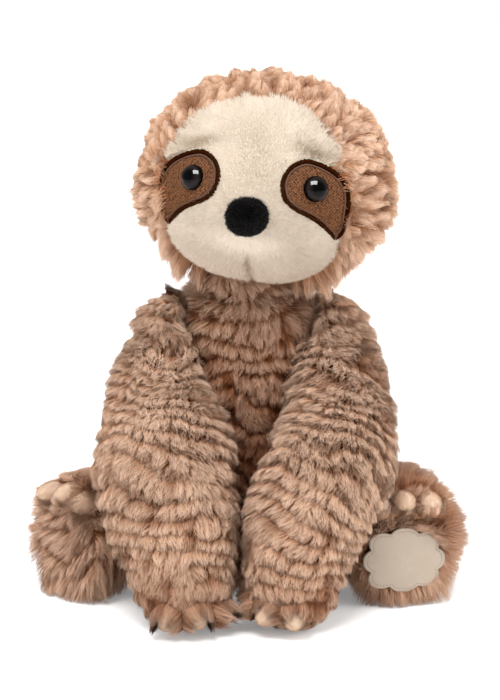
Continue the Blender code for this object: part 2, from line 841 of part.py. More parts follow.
def make_leg(name, side, root):
    hinge = Vector((side * body_half_width, -hip_forward, hip_height))
    pivot = add_pivot("hip_" + name, hinge, parent=root)
    cutters = [add_seat("leg_" + name, pivot, side, hip_seat_radius, 0)]
    cutters.append(floor_cutter(f"leg_{name}_floor", pivot, hinge))
    shapes = (leg_form(name, side), leg_form(name, side))
    pieces = make_limb("leg_{}_" + name, shapes, pivot, hinge, cutters)

    rows = np.array(leg_shares[name])
    scales = leg_scales(side)
    middle = place_on(rows, 1, scales)[0] - hinge
    across, rise, along = limb_frame(rows, 1, scales, Z_AXIS)
    frames = []
    for step in (-1, 0, 1):
        shift = across * (step * foot_claw_pitch) + rise * (foot_claw_rise - foot_claw_droop * abs(step))
        frames.append(stud_frame(middle + shift - along * claw_sink, along))
    add_claws("foot_claw_" + name, frames, pivot, pieces)
    if name == "left":
        make_foot_patch(middle, across, rise, along, pivot)


def make_foot_patch(middle, across, rise, along, pivot):
    """A bare leather patch with a scalloped edge, sewn flat on the sole."""
    count = foot_patch_lobes * LOBE_STEPS
    rings = []
    for height in (seam_gap, seam_gap + foot_patch_thickness):
        ring = []
        for i in range(count):
            turn = 2 * pi * i / count
            lobe = 1 - foot_patch_lobe_share * (1 - abs(cos(turn * foot_patch_lobes / 2)))
            lobe *= 1 + foot_patch_corner_share * abs(sin(2 * turn))
            out = across * (foot_patch_half_width * lobe * cos(turn))
            up = rise * (foot_patch_half_height * lobe * sin(turn) - foot_patch_drop)
            ring.append(middle + out + up + along * height)
        rings.append(ring)
    add_piece("foot_patch", skin(rings, cap_start=True, cap_end=True), pivot, "beige_leather")


def make_sloth():
    root = add_pivot("body_frame", Vector((0, 0, 0)))
    make_body(root)
    neck = add_pivot("neck_turn_axis", Vector((0, 0, neck_height)), parent=root)
    make_neck(neck)
    turn = Matrix.Rotation(head_yaw, 3, "Z") @ Matrix.Rotation(head_roll, 3, "Y")
    head = add_pivot("head_nod_axis", Vector((0, 0, 0)), turn, neck)
    make_head(head)
    for name, side in SIDES.items():
        make_arm(name, side, root)
        make_leg(name, side, root)


make_sloth()
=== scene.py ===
"""The plush sloth dressed for its photograph: wavy brown pile, cream face, eyes, claws and patch.

Metres, +Z up. The toy faces -Y, so its own left side is +X.
"""

from math import cos, pi, radians, sin

import bpy
import numpy as np
from mathutils import Matrix, Vector
from mathutils.kdtree import KDTree


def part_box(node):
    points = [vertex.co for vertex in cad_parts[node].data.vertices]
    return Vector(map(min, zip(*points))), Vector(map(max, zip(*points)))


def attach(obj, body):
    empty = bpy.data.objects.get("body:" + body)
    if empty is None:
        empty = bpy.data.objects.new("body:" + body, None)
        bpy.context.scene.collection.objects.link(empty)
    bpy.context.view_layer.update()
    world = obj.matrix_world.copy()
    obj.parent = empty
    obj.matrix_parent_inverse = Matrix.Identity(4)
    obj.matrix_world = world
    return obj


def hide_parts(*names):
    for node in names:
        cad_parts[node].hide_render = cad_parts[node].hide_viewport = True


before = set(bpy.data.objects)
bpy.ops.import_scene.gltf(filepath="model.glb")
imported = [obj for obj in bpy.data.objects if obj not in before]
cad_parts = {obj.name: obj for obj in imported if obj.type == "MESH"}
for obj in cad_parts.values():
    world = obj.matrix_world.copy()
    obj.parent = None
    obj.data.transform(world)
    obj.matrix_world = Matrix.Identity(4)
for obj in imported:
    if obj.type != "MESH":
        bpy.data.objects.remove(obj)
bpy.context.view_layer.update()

MM = 0.001
SIDES = {"left": 1, "right": -1}
UPWARDS = np.array((0.0, 0.0, 1.0))
FORWARDS = np.array((0.0, -1.0, 0.0))
MOVING_GAP = 0.6 * MM

# Body
NECK_HEIGHT = 150 * MM
NECK_RADIUS = 24 * MM
NECK_BASE = radians(-10)
NECK_MOUTH = radians(65)
BODY_HALF_WIDTH = 42.5 * MM
BODY_HALF_DEPTH = 38.5 * MM
# share of the height, shares of the half width and half depth, how far the middle lies back, squareness
BODY_ROWS = (
    (0.00, 0.80, 0.76, 0.08, 2.6),
    (0.04, 0.94, 0.89, 0.08, 2.8),
    (0.12, 0.99, 0.97, 0.08, 3.0),
    (0.24, 1.00, 1.00, 0.08, 3.0),
    (0.47, 0.97, 0.97, 0.08, 2.6),
    (0.63, 0.85, 0.86, 0.06, 2.6),
    (0.77, 0.74, 0.76, 0.03, 3.2),
    (0.87, 0.72, 0.72, 0.00, 3.4),
    (0.94, 0.69, 0.68, 0.00, 2.8),
)

# Head
HEAD_YAW = radians(-8)
HEAD_ROLL = radians(4.2)
HEAD_OFFSET = np.array((4.3, -7, 51.5)) * MM
HEAD_HALF = np.array((61, 50, 50)) * MM
MUZZLE_LENGTH = 11 * MM
MUZZLE_HALF = np.array((26, 19)) * MM
MUZZLE_DROP = 12 * MM
FACE_RADIUS = 44 * MM
FACE_DROP = 2 * MM
FACE_SINK = 2.2 * MM

FOOT_PATCH_HALF = (20 * MM, 15.6 * MM)

# Limbs: how far out, forward and up they reach, and their two half widths. A row is a share of the
# limb's length and then the shares of these five.
ARM_SCALES = np.array((44, 78, 142.5, 33, 22)) * MM
ARM_ROWS = {
    "right": (
        (0.00, 0.82, 0.02, 1.00, 0.52, 0.70),
        (0.15, 0.88, 0.18, 0.85, 0.53, 0.73),
        (0.33, 1.00, 0.42, 0.69, 0.76, 0.80),
        (0.50, 0.93, 0.68, 0.54, 1.00, 0.92),
        (0.65, 0.84, 0.84, 0.38, 0.92, 1.00),
        (0.79, 0.74, 0.94, 0.24, 0.78, 0.95),
        (1.00, 0.67, 1.01, 0.00, 0.58, 0.82),
    ),
    "left": (
        (0.00, 0.80, 0.02, 1.00, 0.52, 0.70),
        (0.15, 0.86, 0.18, 0.85, 0.52, 0.73),
        (0.33, 0.94, 0.42, 0.69, 0.70, 0.80),
        (0.50, 0.89, 0.68, 0.54, 0.86, 0.92),
        (0.65, 0.63, 0.85, 0.39, 0.86, 1.00),
        (0.79, 0.51, 0.95, 0.25, 0.73, 0.95),
        (1.00, 0.40, 1.02, 0.00, 0.62, 0.82),
    ),
}
ARM_ROUND = (0.11, 0.13)
ARM_SLANTS = {"right": 0.15, "left": 0.45}
SHOULDER = np.array((29.5, -2, 124)) * MM
SHOULDER_SEAT = (24 * MM, 4.5 * MM)
LEG_SCALES = np.array((76, 42, 32.5, 28, 33)) * MM
LEG_ROWS = {
    "right": (
        (0.00, 0.39, -0.08, 0.92, 0.72, 0.64),
        (0.30, 0.66, 0.08, 0.92, 0.80, 0.70),
        (0.60, 0.88, 0.28, 0.96, 0.90, 0.85),
        (0.85, 1.05, 0.52, 1.00, 0.96, 1.00),
        (1.00, 1.15, 0.70, 1.00, 0.96, 1.00),
    ),
    "left": (
        (0.00, 0.39, -0.08, 0.92, 0.72, 0.64),
        (0.30, 0.62, 0.12, 0.92, 0.80, 0.70),
        (0.60, 0.80, 0.41, 0.96, 0.91, 0.85),
        (0.85, 0.93, 0.74, 1.00, 1.00, 1.00),
        (1.00, 0.96, 1.00, 1.00, 1.00, 1.00),
    ),
}
SOLE_HUBS = {"right": 22 * MM, "left": -4 * MM}
SOLE_FLAT = 0.80
SOLE_ROUND = 0.14
HIP = np.array((42.5, 0, 30)) * MM
HIP_SEAT = (42 * MM, 0.0)

# Eyes, nose and mouth, measured on the face from the middle of the head
EYE_RADIUS = 6 * MM
EYE_HEIGHT = 4.6 * MM
EYE_SHIFT = 1.2 * MM
NOSE_DROP = 9.5 * MM
NOSE_HALF = (10 * MM, 9 * MM)
PATCH_SIZE = np.array((31, 38.5)) * MM
PATCH_PLACE = np.array((14.4, -21)) * MM
PATCH_SHARES = np.array((
    (0.34, 1.00), (0.13, 0.94), (0.02, 0.82), (0.00, 0.68), (0.07, 0.52), (0.20, 0.41), (0.38, 0.325),
    (0.57, 0.22), (0.72, 0.08), (0.82, 0.00), (0.95, 0.10), (1.00, 0.35), (0.99, 0.60), (0.86, 0.79),
    (0.62, 0.93),
))
BORDER_WIDTH = 3.0 * MM


# Noise and vectors


def unit(vectors):
    return vectors / np.maximum(np.linalg.norm(vectors, axis=-1, keepdims=True), 1e-12)


def dot(a, b):
    return np.sum(a * b, axis=-1, keepdims=True)


def full_turn(count):
    """Angles evenly round a circle."""
    return 2 * pi * np.arange(count) / count


def ease(value, low, high):
    """0 below the low value and 1 above the high one, smooth between them."""
    t = np.clip((value - low) / (high - low), 0, 1)
    return t * t * (3 - 2 * t)


LATTICE = np.random.default_rng(7).uniform(-1, 1, (32, 32, 32))


def ripple(points, size, layer=0):
    """Smooth noise from -1 to 1, with bumps of about a given size."""
    spots = points / size + layer * 7.31
    cell = np.floor(spots).astype(int)
    t = spots - cell
    t = t * t * (3 - 2 * t)
    value = 0.0
    for corner in np.ndindex(2, 2, 2):
        near = (cell + corner) % len(LATTICE)
        share = np.prod(np.where(corner, t, 1 - t), axis=-1)
        value = value + share * LATTICE[near[..., 0], near[..., 1], near[..., 2]]
    return value


def read_rows(rows, places):
    """Values of a table at many places, on a smooth curve through its rows."""
    rows = np.array(rows)
    knots = rows[:, 0]
    i = np.clip(np.searchsorted(knots, places) - 1, 0, len(rows) - 2)
    slopes = np.gradient(rows, knots, axis=0)
    span = (knots[i + 1] - knots[i])[:, None]
    t = (np.asarray(places)[:, None] - knots[i][:, None]) / span
    value = (2 * t**3 - 3 * t**2 + 1) * rows[i] + (3 * t**2 - 2 * t**3) * rows[i + 1]
    value += (t**3 - 2 * t**2 + t) * span * slopes[i] + (t**3 - t**2) * span * slopes[i + 1]
    return value[:, 1:]


# Sewn forms, as grids of points from where the pile starts to where it ends


def travel_along(points):
    """The way along a grid from its first ring to each of its points."""
    steps = np.linalg.norm(np.diff(points, axis=0), axis=-1)
    return np.concatenate([np.zeros((1, points.shape[1])), np.cumsum(steps, 0)])


# where a folded grid's own normal points this far inwards, its ring's spoke stands in for it
FOLDED = -0.35


class Form:
    """A grid over a sewn form: its points, outward normals, the way the pile lies and where it grows."""

    def __init__(self, points, lay=None, bare=None, flow=None):
        self.points = points
        round_way = (np.roll(points, -1, 1) - np.roll(points, 1, 1)) / 2
        along = np.gradient(points, axis=0)
        normals = unit(np.cross(round_way, along))
        self.turned = np.sum(normals * (points - points.mean((0, 1)))) <= 0
        normals = -normals if self.turned else normals
        spoke = unit(points - points.mean(1, keepdims=True) + 1e-9)
        self.normals = np.where(dot(normals, spoke) < FOLDED, spoke, normals)
        self.lay = travel_along(points) if lay is None else lay
        self.grows = np.ones(points.shape[:2]) if bare is None else 1.0 - bare
        a = (np.roll(self.lay, -1, 1) - np.roll(self.lay, 1, 1)) / 2
        b = np.gradient(self.lay, axis=0)
        uu = dot(round_way, round_way)[..., 0]
        uv = dot(round_way, along)[..., 0]
        vv = dot(along, along)[..., 0]
        det = np.maximum(uu * vv - uv**2, 1e-18)
        slope = ((a * vv - b * uv) / det)[..., None] * round_way
        slope = slope + ((b * uu - a * uv) / det)[..., None] * along
        self.flow = unit(slope) if flow is None else flow
        self.area = np.sqrt(det)

    def scatter(self, per_square_mm, rng):
        """Places spread evenly over the form, with the grid's values there."""
        weight = self.area * self.grows
        weight = (weight[:-1] + weight[1:]) / 2
        count = int(weight.sum() / MM**2 * per_square_mm)
        chosen = np.searchsorted(np.cumsum(weight.ravel()) / weight.sum(), rng.random(count))
        i, j = np.unravel_index(np.minimum(chosen, weight.size - 1), weight.shape)
        a, b = rng.random((2, count, 1))
        k = (j + 1) % self.points.shape[1]

        def read(grid):
            grid = grid if grid.ndim == 3 else grid[..., None]
            near = grid[i, j] * (1 - b) + grid[i, k] * b
            far = grid[i + 1, j] * (1 - b) + grid[i + 1, k] * b
            return near * (1 - a) + far * a

        keep = read(self.grows)[:, 0] > 0.5
        places, normals, flow, lay = (read(g)[keep] for g in (self.points, self.normals, self.flow, self.lay))
        return places, unit(normals), unit(flow), lay[:, 0]


def rings(middles, across, rise, half_across, half_rise, squareness, count):
    """Rings round middles: squareness 2 makes them elliptic, and more makes them squarer."""
    turn = full_turn(count)
    power = 2 / np.broadcast_to(squareness, half_across.shape)[:, None]
    c = np.sign(np.cos(turn)) * np.abs(np.cos(turn)) ** power * half_across[:, None]
    s = np.sign(np.sin(turn)) * np.abs(np.sin(turn)) ** power * half_rise[:, None]
    return middles[:, None] + across[:, None] * c[..., None] + rise[:, None] * s[..., None]


def body_sections(heights):
    """The body's half width, half depth, set-back and squareness at heights from the floor."""
    base = NECK_HEIGHT + NECK_RADIUS * sin(NECK_BASE)
    round_neck = NECK_RADIUS * cos(NECK_BASE)
    last = (1.0, round_neck / BODY_HALF_WIDTH, round_neck / BODY_HALF_DEPTH, 0.0, 2.0)
    values = read_rows(BODY_ROWS + (last,), np.clip(heights / base, 0, 1))
    rise = np.clip((heights - NECK_HEIGHT) / NECK_RADIUS, -1, 0.98)
    shrink = np.where(heights > base, np.sqrt(1 - rise**2) / cos(NECK_BASE), 1.0)
    wide, deep = values[:, 0] * BODY_HALF_WIDTH * shrink, values[:, 1] * BODY_HALF_DEPTH * shrink
    return wide, deep, values[:, 2] * BODY_HALF_DEPTH, values[:, 3]


def body_form():
    top = NECK_HEIGHT + NECK_RADIUS * sin(NECK_MOUTH)
    heights = np.concatenate([np.linspace(top, 8 * MM, 84), np.linspace(7 * MM, 0, 12)])
    wide, deep, back, squareness = body_sections(heights)
    middles = np.stack([0 * heights, back, heights], 1)
    count = len(heights)
    x, y = np.tile((1.0, 0, 0), (count, 1)), np.tile((0, 1.0, 0), (count, 1))
    return Form(rings(middles, x, y, wide, deep, squareness, 128))


def clear_of_body(points, side, hinge, seat):
    """Push a limb's points out of the body and off its seat. Also says which points were pushed."""
    x = points[..., 0] * side
    wide, deep, back, squareness = (v.reshape(x.shape) for v in body_sections(points[..., 2].ravel()))
    off = np.abs(points[..., 1] - back) / deep
    section = wide * np.maximum(1 - off**squareness, 0) ** (1 / squareness)
    limit = np.where(off < 1, section + MOVING_GAP, -1.0)
    limit = np.where(points[..., 2] > NECK_HEIGHT, -1.0, limit)
    body_edge = limit
    reach, rise = seat
    away = np.hypot(points[..., 1] - hinge[1], points[..., 2] - hinge[2])
    limit = np.where(away < reach, np.maximum(limit, hinge[0] + MOVING_GAP + rise * away / reach), limit)
    moved = points.copy()
    moved[..., 0] = side * np.maximum(x, limit)
    hidden = 1 - ease(np.maximum(x, limit) - body_edge, 0.8 * MM, 2 * MM)
    return moved, ease(limit - x, 3 * MM, 7 * MM) * hidden


def limb_grid(rows, scales, side, places, fullness, forward, count):
    """A limb's rings, square to its route, at places along it from 0 to 1."""
    scales = scales * (side, -1, 1, 1, 1)
    values = read_rows(rows, places) * scales
    ahead = read_rows(rows, np.minimum(places + 0.01, 1)) * scales
    behind = read_rows(rows, np.maximum(places - 0.01, 0)) * scales
    along = unit((ahead - behind)[:, :3])
    rise = unit(forward - along * dot(along, forward))
    across = np.cross(rise, along)
    return rings(values[:, :3], across, rise, values[:, 3] * fullness, values[:, 4] * fullness, 2.0, count)


def arm_form(name, side):
    """An arm from its shoulder to its hand, rounded at both ends."""
    turn = np.linspace(0.1, pi / 2, 14)
    top, hand = ARM_ROUND
    first = top * (1 - np.cos(turn))
    last = 1 - hand * (1 - np.cos(turn[::-1]))
    straight = np.linspace(top, 1 - hand, 80)[1:-1]
    places = np.concatenate([first, straight, last])
    fullness = np.concatenate([np.sin(turn), np.ones(len(straight)), np.sin(turn[::-1])])
    points = limb_grid(ARM_ROWS[name], ARM_SCALES, side, places, fullness, FORWARDS, 96)
    points[..., 2] -= 0.5 * MM
    free = points
    points, bare = clear_of_body(free, side, SHOULDER, SHOULDER_SEAT)
    points[..., 2] = np.maximum(points[..., 2], 0)
    height = points[..., 2]
    slant = ARM_SLANTS[name] * ease(height, 10 * MM, 50 * MM) * (1 - ease(height, 95 * MM, 135 * MM))
    across = free[..., 0] - free[..., 0].mean(1, keepdims=True)
    return Form(points, travel_along(free) - slant * across, bare)


def leg_form(name, side):
    """A leg from its hip to its sole, with pile that lies outwards on the sole."""
    turn = np.linspace(0, pi / 2, 12)[1:]
    straight = np.linspace(0, 1 - SOLE_ROUND, 46)
    rounded = SOLE_FLAT + (1 - SOLE_FLAT) * np.cos(turn)
    sole = np.linspace(SOLE_FLAT, 0.03, 23)[1:]
    places = np.concatenate([straight, 1 - SOLE_ROUND * (1 - np.sin(turn)), np.ones(len(sole))])
    fullness = np.concatenate([np.ones(len(straight)), rounded, sole])
    points = limb_grid(LEG_ROWS[name], LEG_SCALES, side, places, fullness, UPWARDS, 104)
    points, bare = clear_of_body(points, side, HIP, HIP_SEAT)
    points[..., 2] = np.maximum(points[..., 2], 0)
    travel = travel_along(points)
    # from this ring on the pile lies outwards over the sole
    rim = len(straight) + 4
    facing = unit(points[-1].mean(0) - points[rim - 20].mean(0))
    hub = points[-1].mean(0) + SOLE_HUBS[name] * UPWARDS - 10 * MM * facing
    spread = points - hub
    lay = travel.copy()
    lay[rim:] = np.linalg.norm(spread, axis=-1)[rim:]
    flow = Form(points, travel, bare).flow
    share = ease(np.arange(len(points)), rim - 8, rim)[:, None, None]
    flow = unit(flow * (1 - share) + unit(spread) * share)
    return Form(points, lay, bare, flow)


HEAD_TURN = np.array(Matrix.Rotation(HEAD_YAW, 3, "Z") @ Matrix.Rotation(HEAD_ROLL, 3, "Y"))


def to_toy(points):
    """From the head's own middle to the toy's frame."""
    return (points + HEAD_OFFSET) @ HEAD_TURN.T + NECK_HEIGHT * UPWARDS


def turn_to_toy(vectors):
    return vectors @ HEAD_TURN.T


def muzzle(x, z):
    """How far the muzzle stands out of the face."""
    spread = (x / MUZZLE_HALF[0]) ** 2 + ((z + MUZZLE_DROP) / MUZZLE_HALF[1]) ** 2
    return MUZZLE_LENGTH * np.exp(-spread / 2)


def face_reach(turn):
    """The radius of the face's seam: wider below, where the cheeks and the chin are full."""
    return FACE_RADIUS + 3.8 * MM * ease(-np.sin(turn), 0.25, 0.75)


def past_face(points):
    """How far places in the head's own frame lie outside the face's seam."""
    x, z = points[..., 0], points[..., 2] + FACE_DROP
    return np.hypot(x, z) - face_reach(np.arctan2(z, x))


def head_points(angle, turn):
    """Points of the head at angles from the middle of the face and turns round it."""
    x = HEAD_HALF[0] * np.sin(angle) * np.cos(turn)
    z = HEAD_HALF[2] * np.sin(angle) * np.sin(turn)
    front = np.maximum(np.cos(angle), 0)
    y = -HEAD_HALF[1] * np.cos(angle) - muzzle(x, z) * np.sqrt(front)
    return np.stack([x, y, z], -1)


def head_form():
    """The brown part of the head: its pile lies outwards from the face and down the back."""
    angles, turns = np.meshgrid(np.linspace(0.62, pi - 0.03, 96), full_turn(144), indexing="ij")
    points = head_points(angles, turns)
    bare = ease(-past_face(points), -0.2 * MM, 0.2 * MM) * (points[..., 1] < 0)
    back = ease(angles, 1.45, 2.2)
    lay = (1 - back) * 52 * MM * angles + back * (147 * MM - 1.3 * points[..., 2])
    return Form(to_toy(points), lay, bare)


def in_head(points):
    return (points - NECK_HEIGHT * UPWARDS) @ HEAD_TURN - HEAD_OFFSET


def temple(own):
    """Where the brown pile lies in over the outer edge of an eye patch, from 0 to 1."""
    beside = ease(np.abs(own[:, 0]), 36 * MM, 40 * MM) * ease(-past_face(own), -7 * MM, -2 * MM)
    beside = beside * ease(own[:, 2], -26 * MM, -18 * MM)
    return beside * (1 - ease(own[:, 2], 10 * MM, 20 * MM)) * (own[:, 1] < 0)


def beyond_face(points):
    """How far back a strand on the head may be rooted without standing in the face."""
    own = in_head(points)
    return np.where(own[:, 1] < 0, past_face(own), 1.0) + 20 * MM * temple(own)


def head_hang(points):
    """How much further the head's pile hangs below the chin, and reaches in over the eye patches."""
    own = in_head(points)
    chin = (3 + 8 * ease(-own[:, 1], -8 * MM, 22 * MM)) * MM * ease(-own[:, 2], 18 * MM, 42 * MM)
    inward = turn_to_toy(np.stack([-np.sign(own[:, 0]), -0.25 + 0 * own[:, 0], -0.55 + 0 * own[:, 0]], 1))
    return -UPWARDS * chin[:, None] + inward * (3.4 * MM * temple(own))[:, None]


def sole_fringe(points):
    """How much longer a foot's pile hangs, low on its front."""
    front = np.maximum(ease(-points[:, 1], 14 * MM, 24 * MM), ease(np.abs(points[:, 0]), 72 * MM, 88 * MM))
    return -UPWARDS * (7 * MM * ease(-points[:, 2], -20 * MM, -6 * MM) * front)[:, None]


def face_point(x, z, height):
    """A point over the face, at a height over the brown pile's surface, and the normal there."""

    def surface(x, z):
        front = np.sqrt(np.maximum(1 - (x / HEAD_HALF[0]) ** 2 - (z / HEAD_HALF[2]) ** 2, 1e-4))
        return np.stack([x, -HEAD_HALF[1] * front - muzzle(x, z) * np.sqrt(front), z], -1)

    step = 0.2 * MM
    across = surface(x + step, z) - surface(x - step, z)
    upward = surface(x, z + step) - surface(x, z - step)
    normals = unit(np.cross(across, upward))
    return surface(x, z) + normals * np.asarray(height)[..., None], normals


def mouth_crease(x, z):
    return np.exp(-((x / (1.5 * MM)) ** 2)) * ease(-z, 24 * MM, 32 * MM)


def face_form():
    """The cream part of the face: its pile lies outwards from the nose."""
    share = np.linspace(0.02, 1, 64)[:, None]
    turn = full_turn(128)
    x = share * face_reach(turn) * np.cos(turn)
    z = -NOSE_DROP + share * (face_reach(turn) * np.sin(turn) - FACE_DROP + NOSE_DROP)
    crease_depth = 1.2 * MM + 1.6 * MM * ease(-z, 36 * MM, 44 * MM)
    points, _ = face_point(x, z, -FACE_SINK - crease_depth * mouth_crease(x, z))
    return Form(to_toy(points), lay=np.hypot(x, z + NOSE_DROP))


# Meshes


def add_mesh(name, points, faces):
    mesh = bpy.data.meshes.new(name)
    mesh.from_pydata([tuple(p) for p in points], [], faces)
    mesh.update()
    mesh.shade_smooth()
    thing = bpy.data.objects.new(name, mesh)
    bpy.context.scene.collection.objects.link(thing)
    return thing


def grid_faces(rows, columns, flip=False):
    """The faces of a grid whose rows are rings."""
    faces = []
    for i in range(rows - 1):
        for j in range(columns):
            k = (j + 1) % columns
            quad = (i * columns + j, i * columns + k, (i + 1) * columns + k, (i + 1) * columns + j)
            faces.append(quad[::-1] if flip else quad)
    return faces


def closed_faces(rows, columns, flip=False):
    """The faces of a grid of rings, closed by its first ring and its last."""
    ends = [list(range(columns))[::-1], list(range((rows - 1) * columns, rows * columns))]
    return grid_faces(rows, columns, flip) + [end[::-1] if flip else end for end in ends]


def add_skin(name, form, depth):
    """The closed backing under a form's pile."""
    depth = 0.5 * MM + (depth - 0.5 * MM) * form.grows[..., None]
    points = form.points - form.normals * depth
    points[..., 2] = np.maximum(points[..., 2], 1.0 * MM)
    rows, columns = points.shape[:2]
    return add_mesh(name, points.reshape(-1, 3), closed_faces(rows, columns, form.turned))


def add_blades(name, spine, side, half_widths, tone, facing=None):
    """Many pointed strands: spine is a row of points from root to tip, side the way that each is wide.

    The map OFBake holds a strand's tone across and the way from its root to its tip upwards. With facing,
    each strand takes the light like the soft surface that it is part of.
    """
    count, steps = len(tone), len(spine)
    if facing is not None:
        side = side * np.where(dot(np.cross(side, spine[-1] - spine[0]), facing) < 0, -1.0, 1.0)
    corners = []
    for middle, half in zip(spine[:-1], half_widths):
        corners += [middle - side * half, middle + side * half]
    corners.append(spine[-1])
    points = np.stack(corners, 1)
    width = points.shape[1]
    loops = []
    for k in range(steps - 2):
        loops += [2 * k, 2 * k + 1, 2 * k + 3, 2 * k + 2]
    loops += [width - 3, width - 2, width - 1]
    starts = [4 * k for k in range(steps - 1)]
    base = np.arange(count)[:, None]
    mesh = bpy.data.meshes.new(name)
    mesh.vertices.add(count * width)
    mesh.vertices.foreach_set("co", points.astype(np.float32).ravel())
    mesh.loops.add(count * len(loops))
    mesh.loops.foreach_set("vertex_index", (base * width + np.array(loops)).astype(np.int32).ravel())
    mesh.polygons.add(count * len(starts))
    mesh.polygons.foreach_set("loop_start", (base * len(loops) + np.array(starts)).astype(np.int32).ravel())
    mesh.update(calc_edges=True)
    up = [0.02 + 0.96 * (corner // 2) / (steps - 1) for corner in range(width)]
    shift = [(-1, 1)[corner % 2] * 0.006 if corner < width - 1 else 0.0 for corner in range(width)]
    tone = np.clip(tone, 0, 1)[:, None] * 0.97 + 0.015
    across = tone + np.array([shift[c] for c in loops])
    upward = np.broadcast_to(np.array([up[c] for c in loops]), across.shape)
    layer = mesh.uv_layers.new(name="OFBake")
    layer.uv.foreach_set("vector", np.stack([across, upward], -1).astype(np.float32).ravel())
    mesh.shade_smooth()
    if facing is not None:
        soft = mesh.attributes.new("custom_normal", "FLOAT_VECTOR", "POINT")
        soft.data.foreach_set("vector", np.repeat(unit(facing), width, 0).astype(np.float32).ravel())
    thing = bpy.data.objects.new(name, mesh)
    bpy.context.scene.collection.objects.link(thing)
    return thing


# Pile

# row, wander, ragged: how long a row is along the lay, how its line waves and how its locks break it up
# lip, valley: how high the tips stand at the end of a row, and how low between rows
# root, lean, bulge, half_width: a strand's depth, the way from its root to its tip, its bow and width
# tuft, lock, tall, gather, turn, curl: the size of locks, how they stand out, close up, turn and twist
# lump, swirl, stray, soft: broad humps, how the lay turns, each strand's own turn, a row's soft edge
# light, parting: the tone, and how much painted shade dims the strands between locks
LONG_COAT = {
    "per_square_mm": 4.6, "row": 9.2 * MM, "wander": 1.7, "ragged": 0.12, "lip": 2.4 * MM, "valley": 3.6 * MM,
    "root": 6.0 * MM, "lean": 6.6 * MM, "bulge": 1.4 * MM, "half_width": 0.13 * MM, "tuft": 3.6 * MM,
    "swirl": 0.9, "turn": 0.45, "stray": 0.22, "lump": 2.0 * MM, "lock": 0.8 * MM, "gather": 0.26,
    "light": 0.64, "parting": 0.14, "curl": 0.7 * MM, "soft": 0.05, "tall": 1.8 * MM,
}
ARM_COAT = {
    **LONG_COAT, "row": 8.4 * MM, "lip": 2.6 * MM, "wander": 1.3, "ragged": 0.06, "lock": 0.6 * MM,
    "tall": 1.0 * MM, "turn": 0.35, "tuft": 4.4 * MM, "lean": 7.6 * MM, "light": 0.94,
}
LEG_COAT = {**LONG_COAT, "row": 9.0 * MM, "lip": 1.8 * MM, "lean": 7.0 * MM, "lock": 1.0 * MM, "light": 0.66}
HEAD_COAT = {
    **LONG_COAT, "row": 11 * MM, "wander": 2.2, "ragged": 0.30, "lip": 1.6 * MM, "valley": 4.4 * MM,
    "tuft": 5.4 * MM, "swirl": 1.5, "turn": 0.8, "lump": 2.6 * MM, "lock": 1.8 * MM, "lean": 7.5 * MM,
    "gather": 0.5, "light": 0.98, "parting": 0.52, "curl": 1.0 * MM, "soft": 0.03,
}


# where the pile stands higher or lower: middle and radius in mm, how much in mm, and how much painted shade
# dims it
LIFTS = {
    "body": (
        ((0, -38, 58), 26, -3.5, 0.42), ((0, -38, 30), 26, 0, 0.30), ((27, -5, 145), 11, 5.5, 0),
        ((-27, -5, 145), 11, 5.5, 0), ((-26, -34, 108), 9, -3.0, 0.45), ((22, -36, 98), 9, -2.5, 0.35),
        ((0, -38, 112), 30, 0, 0.10),
    ),
    "head": (
        ((0, -12, 248), 26, -1.5, 0), ((-46, -16, 176), 20, 3.5, 0), ((50, -16, 176), 18, 2.5, 0),
        ((-54, -12, 222), 14, -4.5, 0), ((30, -25, 160), 14, 2.5, 0), ((-30, -25, 160), 14, 1.0, 0),
    ),
    "arm_right": (
        ((-74, -47, 85), 17, -4.0, 0), ((-44, 0, 146), 10, -2.0, 0), ((-30, 0, 143), 8, 2.5, 0),
        ((-40, -88, 4), 18, -3.0, 0.50),
    ),
    "arm_left": (
        ((62, -12, 116), 17, 4.0, 0), ((44, 0, 146), 10, -2.0, 0), ((30, 0, 143), 8, 2.5, 0),
        ((24, -90, 4), 18, -3.0, 0.42),
    ),
    "leg_right": (
        ((-106, -30, 16), 22, 6.0, 0), ((-88, -20, 62), 13, -7.0, 0), ((-77, -38, 50), 7, 9.0, 0),
    ),
    "leg_left": (((106, -30, 26), 22, 5.0, 0),),
}


def find_locks(tips, across, size, per_square_mm, rng):
    """Sort strands into locks. Gives how far each is from its lock's middle, and each lock's own numbers."""
    middles = tips[rng.choice(len(tips), int(len(tips) * MM**2 / (per_square_mm * size**2)), replace=False)]
    tree = KDTree(len(middles))
    for i, middle in enumerate(middles):
        tree.insert(middle, i)
    tree.balance()
    nearest = np.array([tree.find(tip)[1] for tip in tips])
    off = middles[nearest] - tips
    aside = dot(off, across)[:, 0]
    own = rng.uniform(-1, 1, (len(middles), 3))[nearest]
    return aside, own.T


def ridge(place):
    """How high a row stands, from its start at 0 to its end at 1."""
    return ease(place, -0.06, 0.46) * (1 - 0.72 * ease(place, 0.70, 1.0))


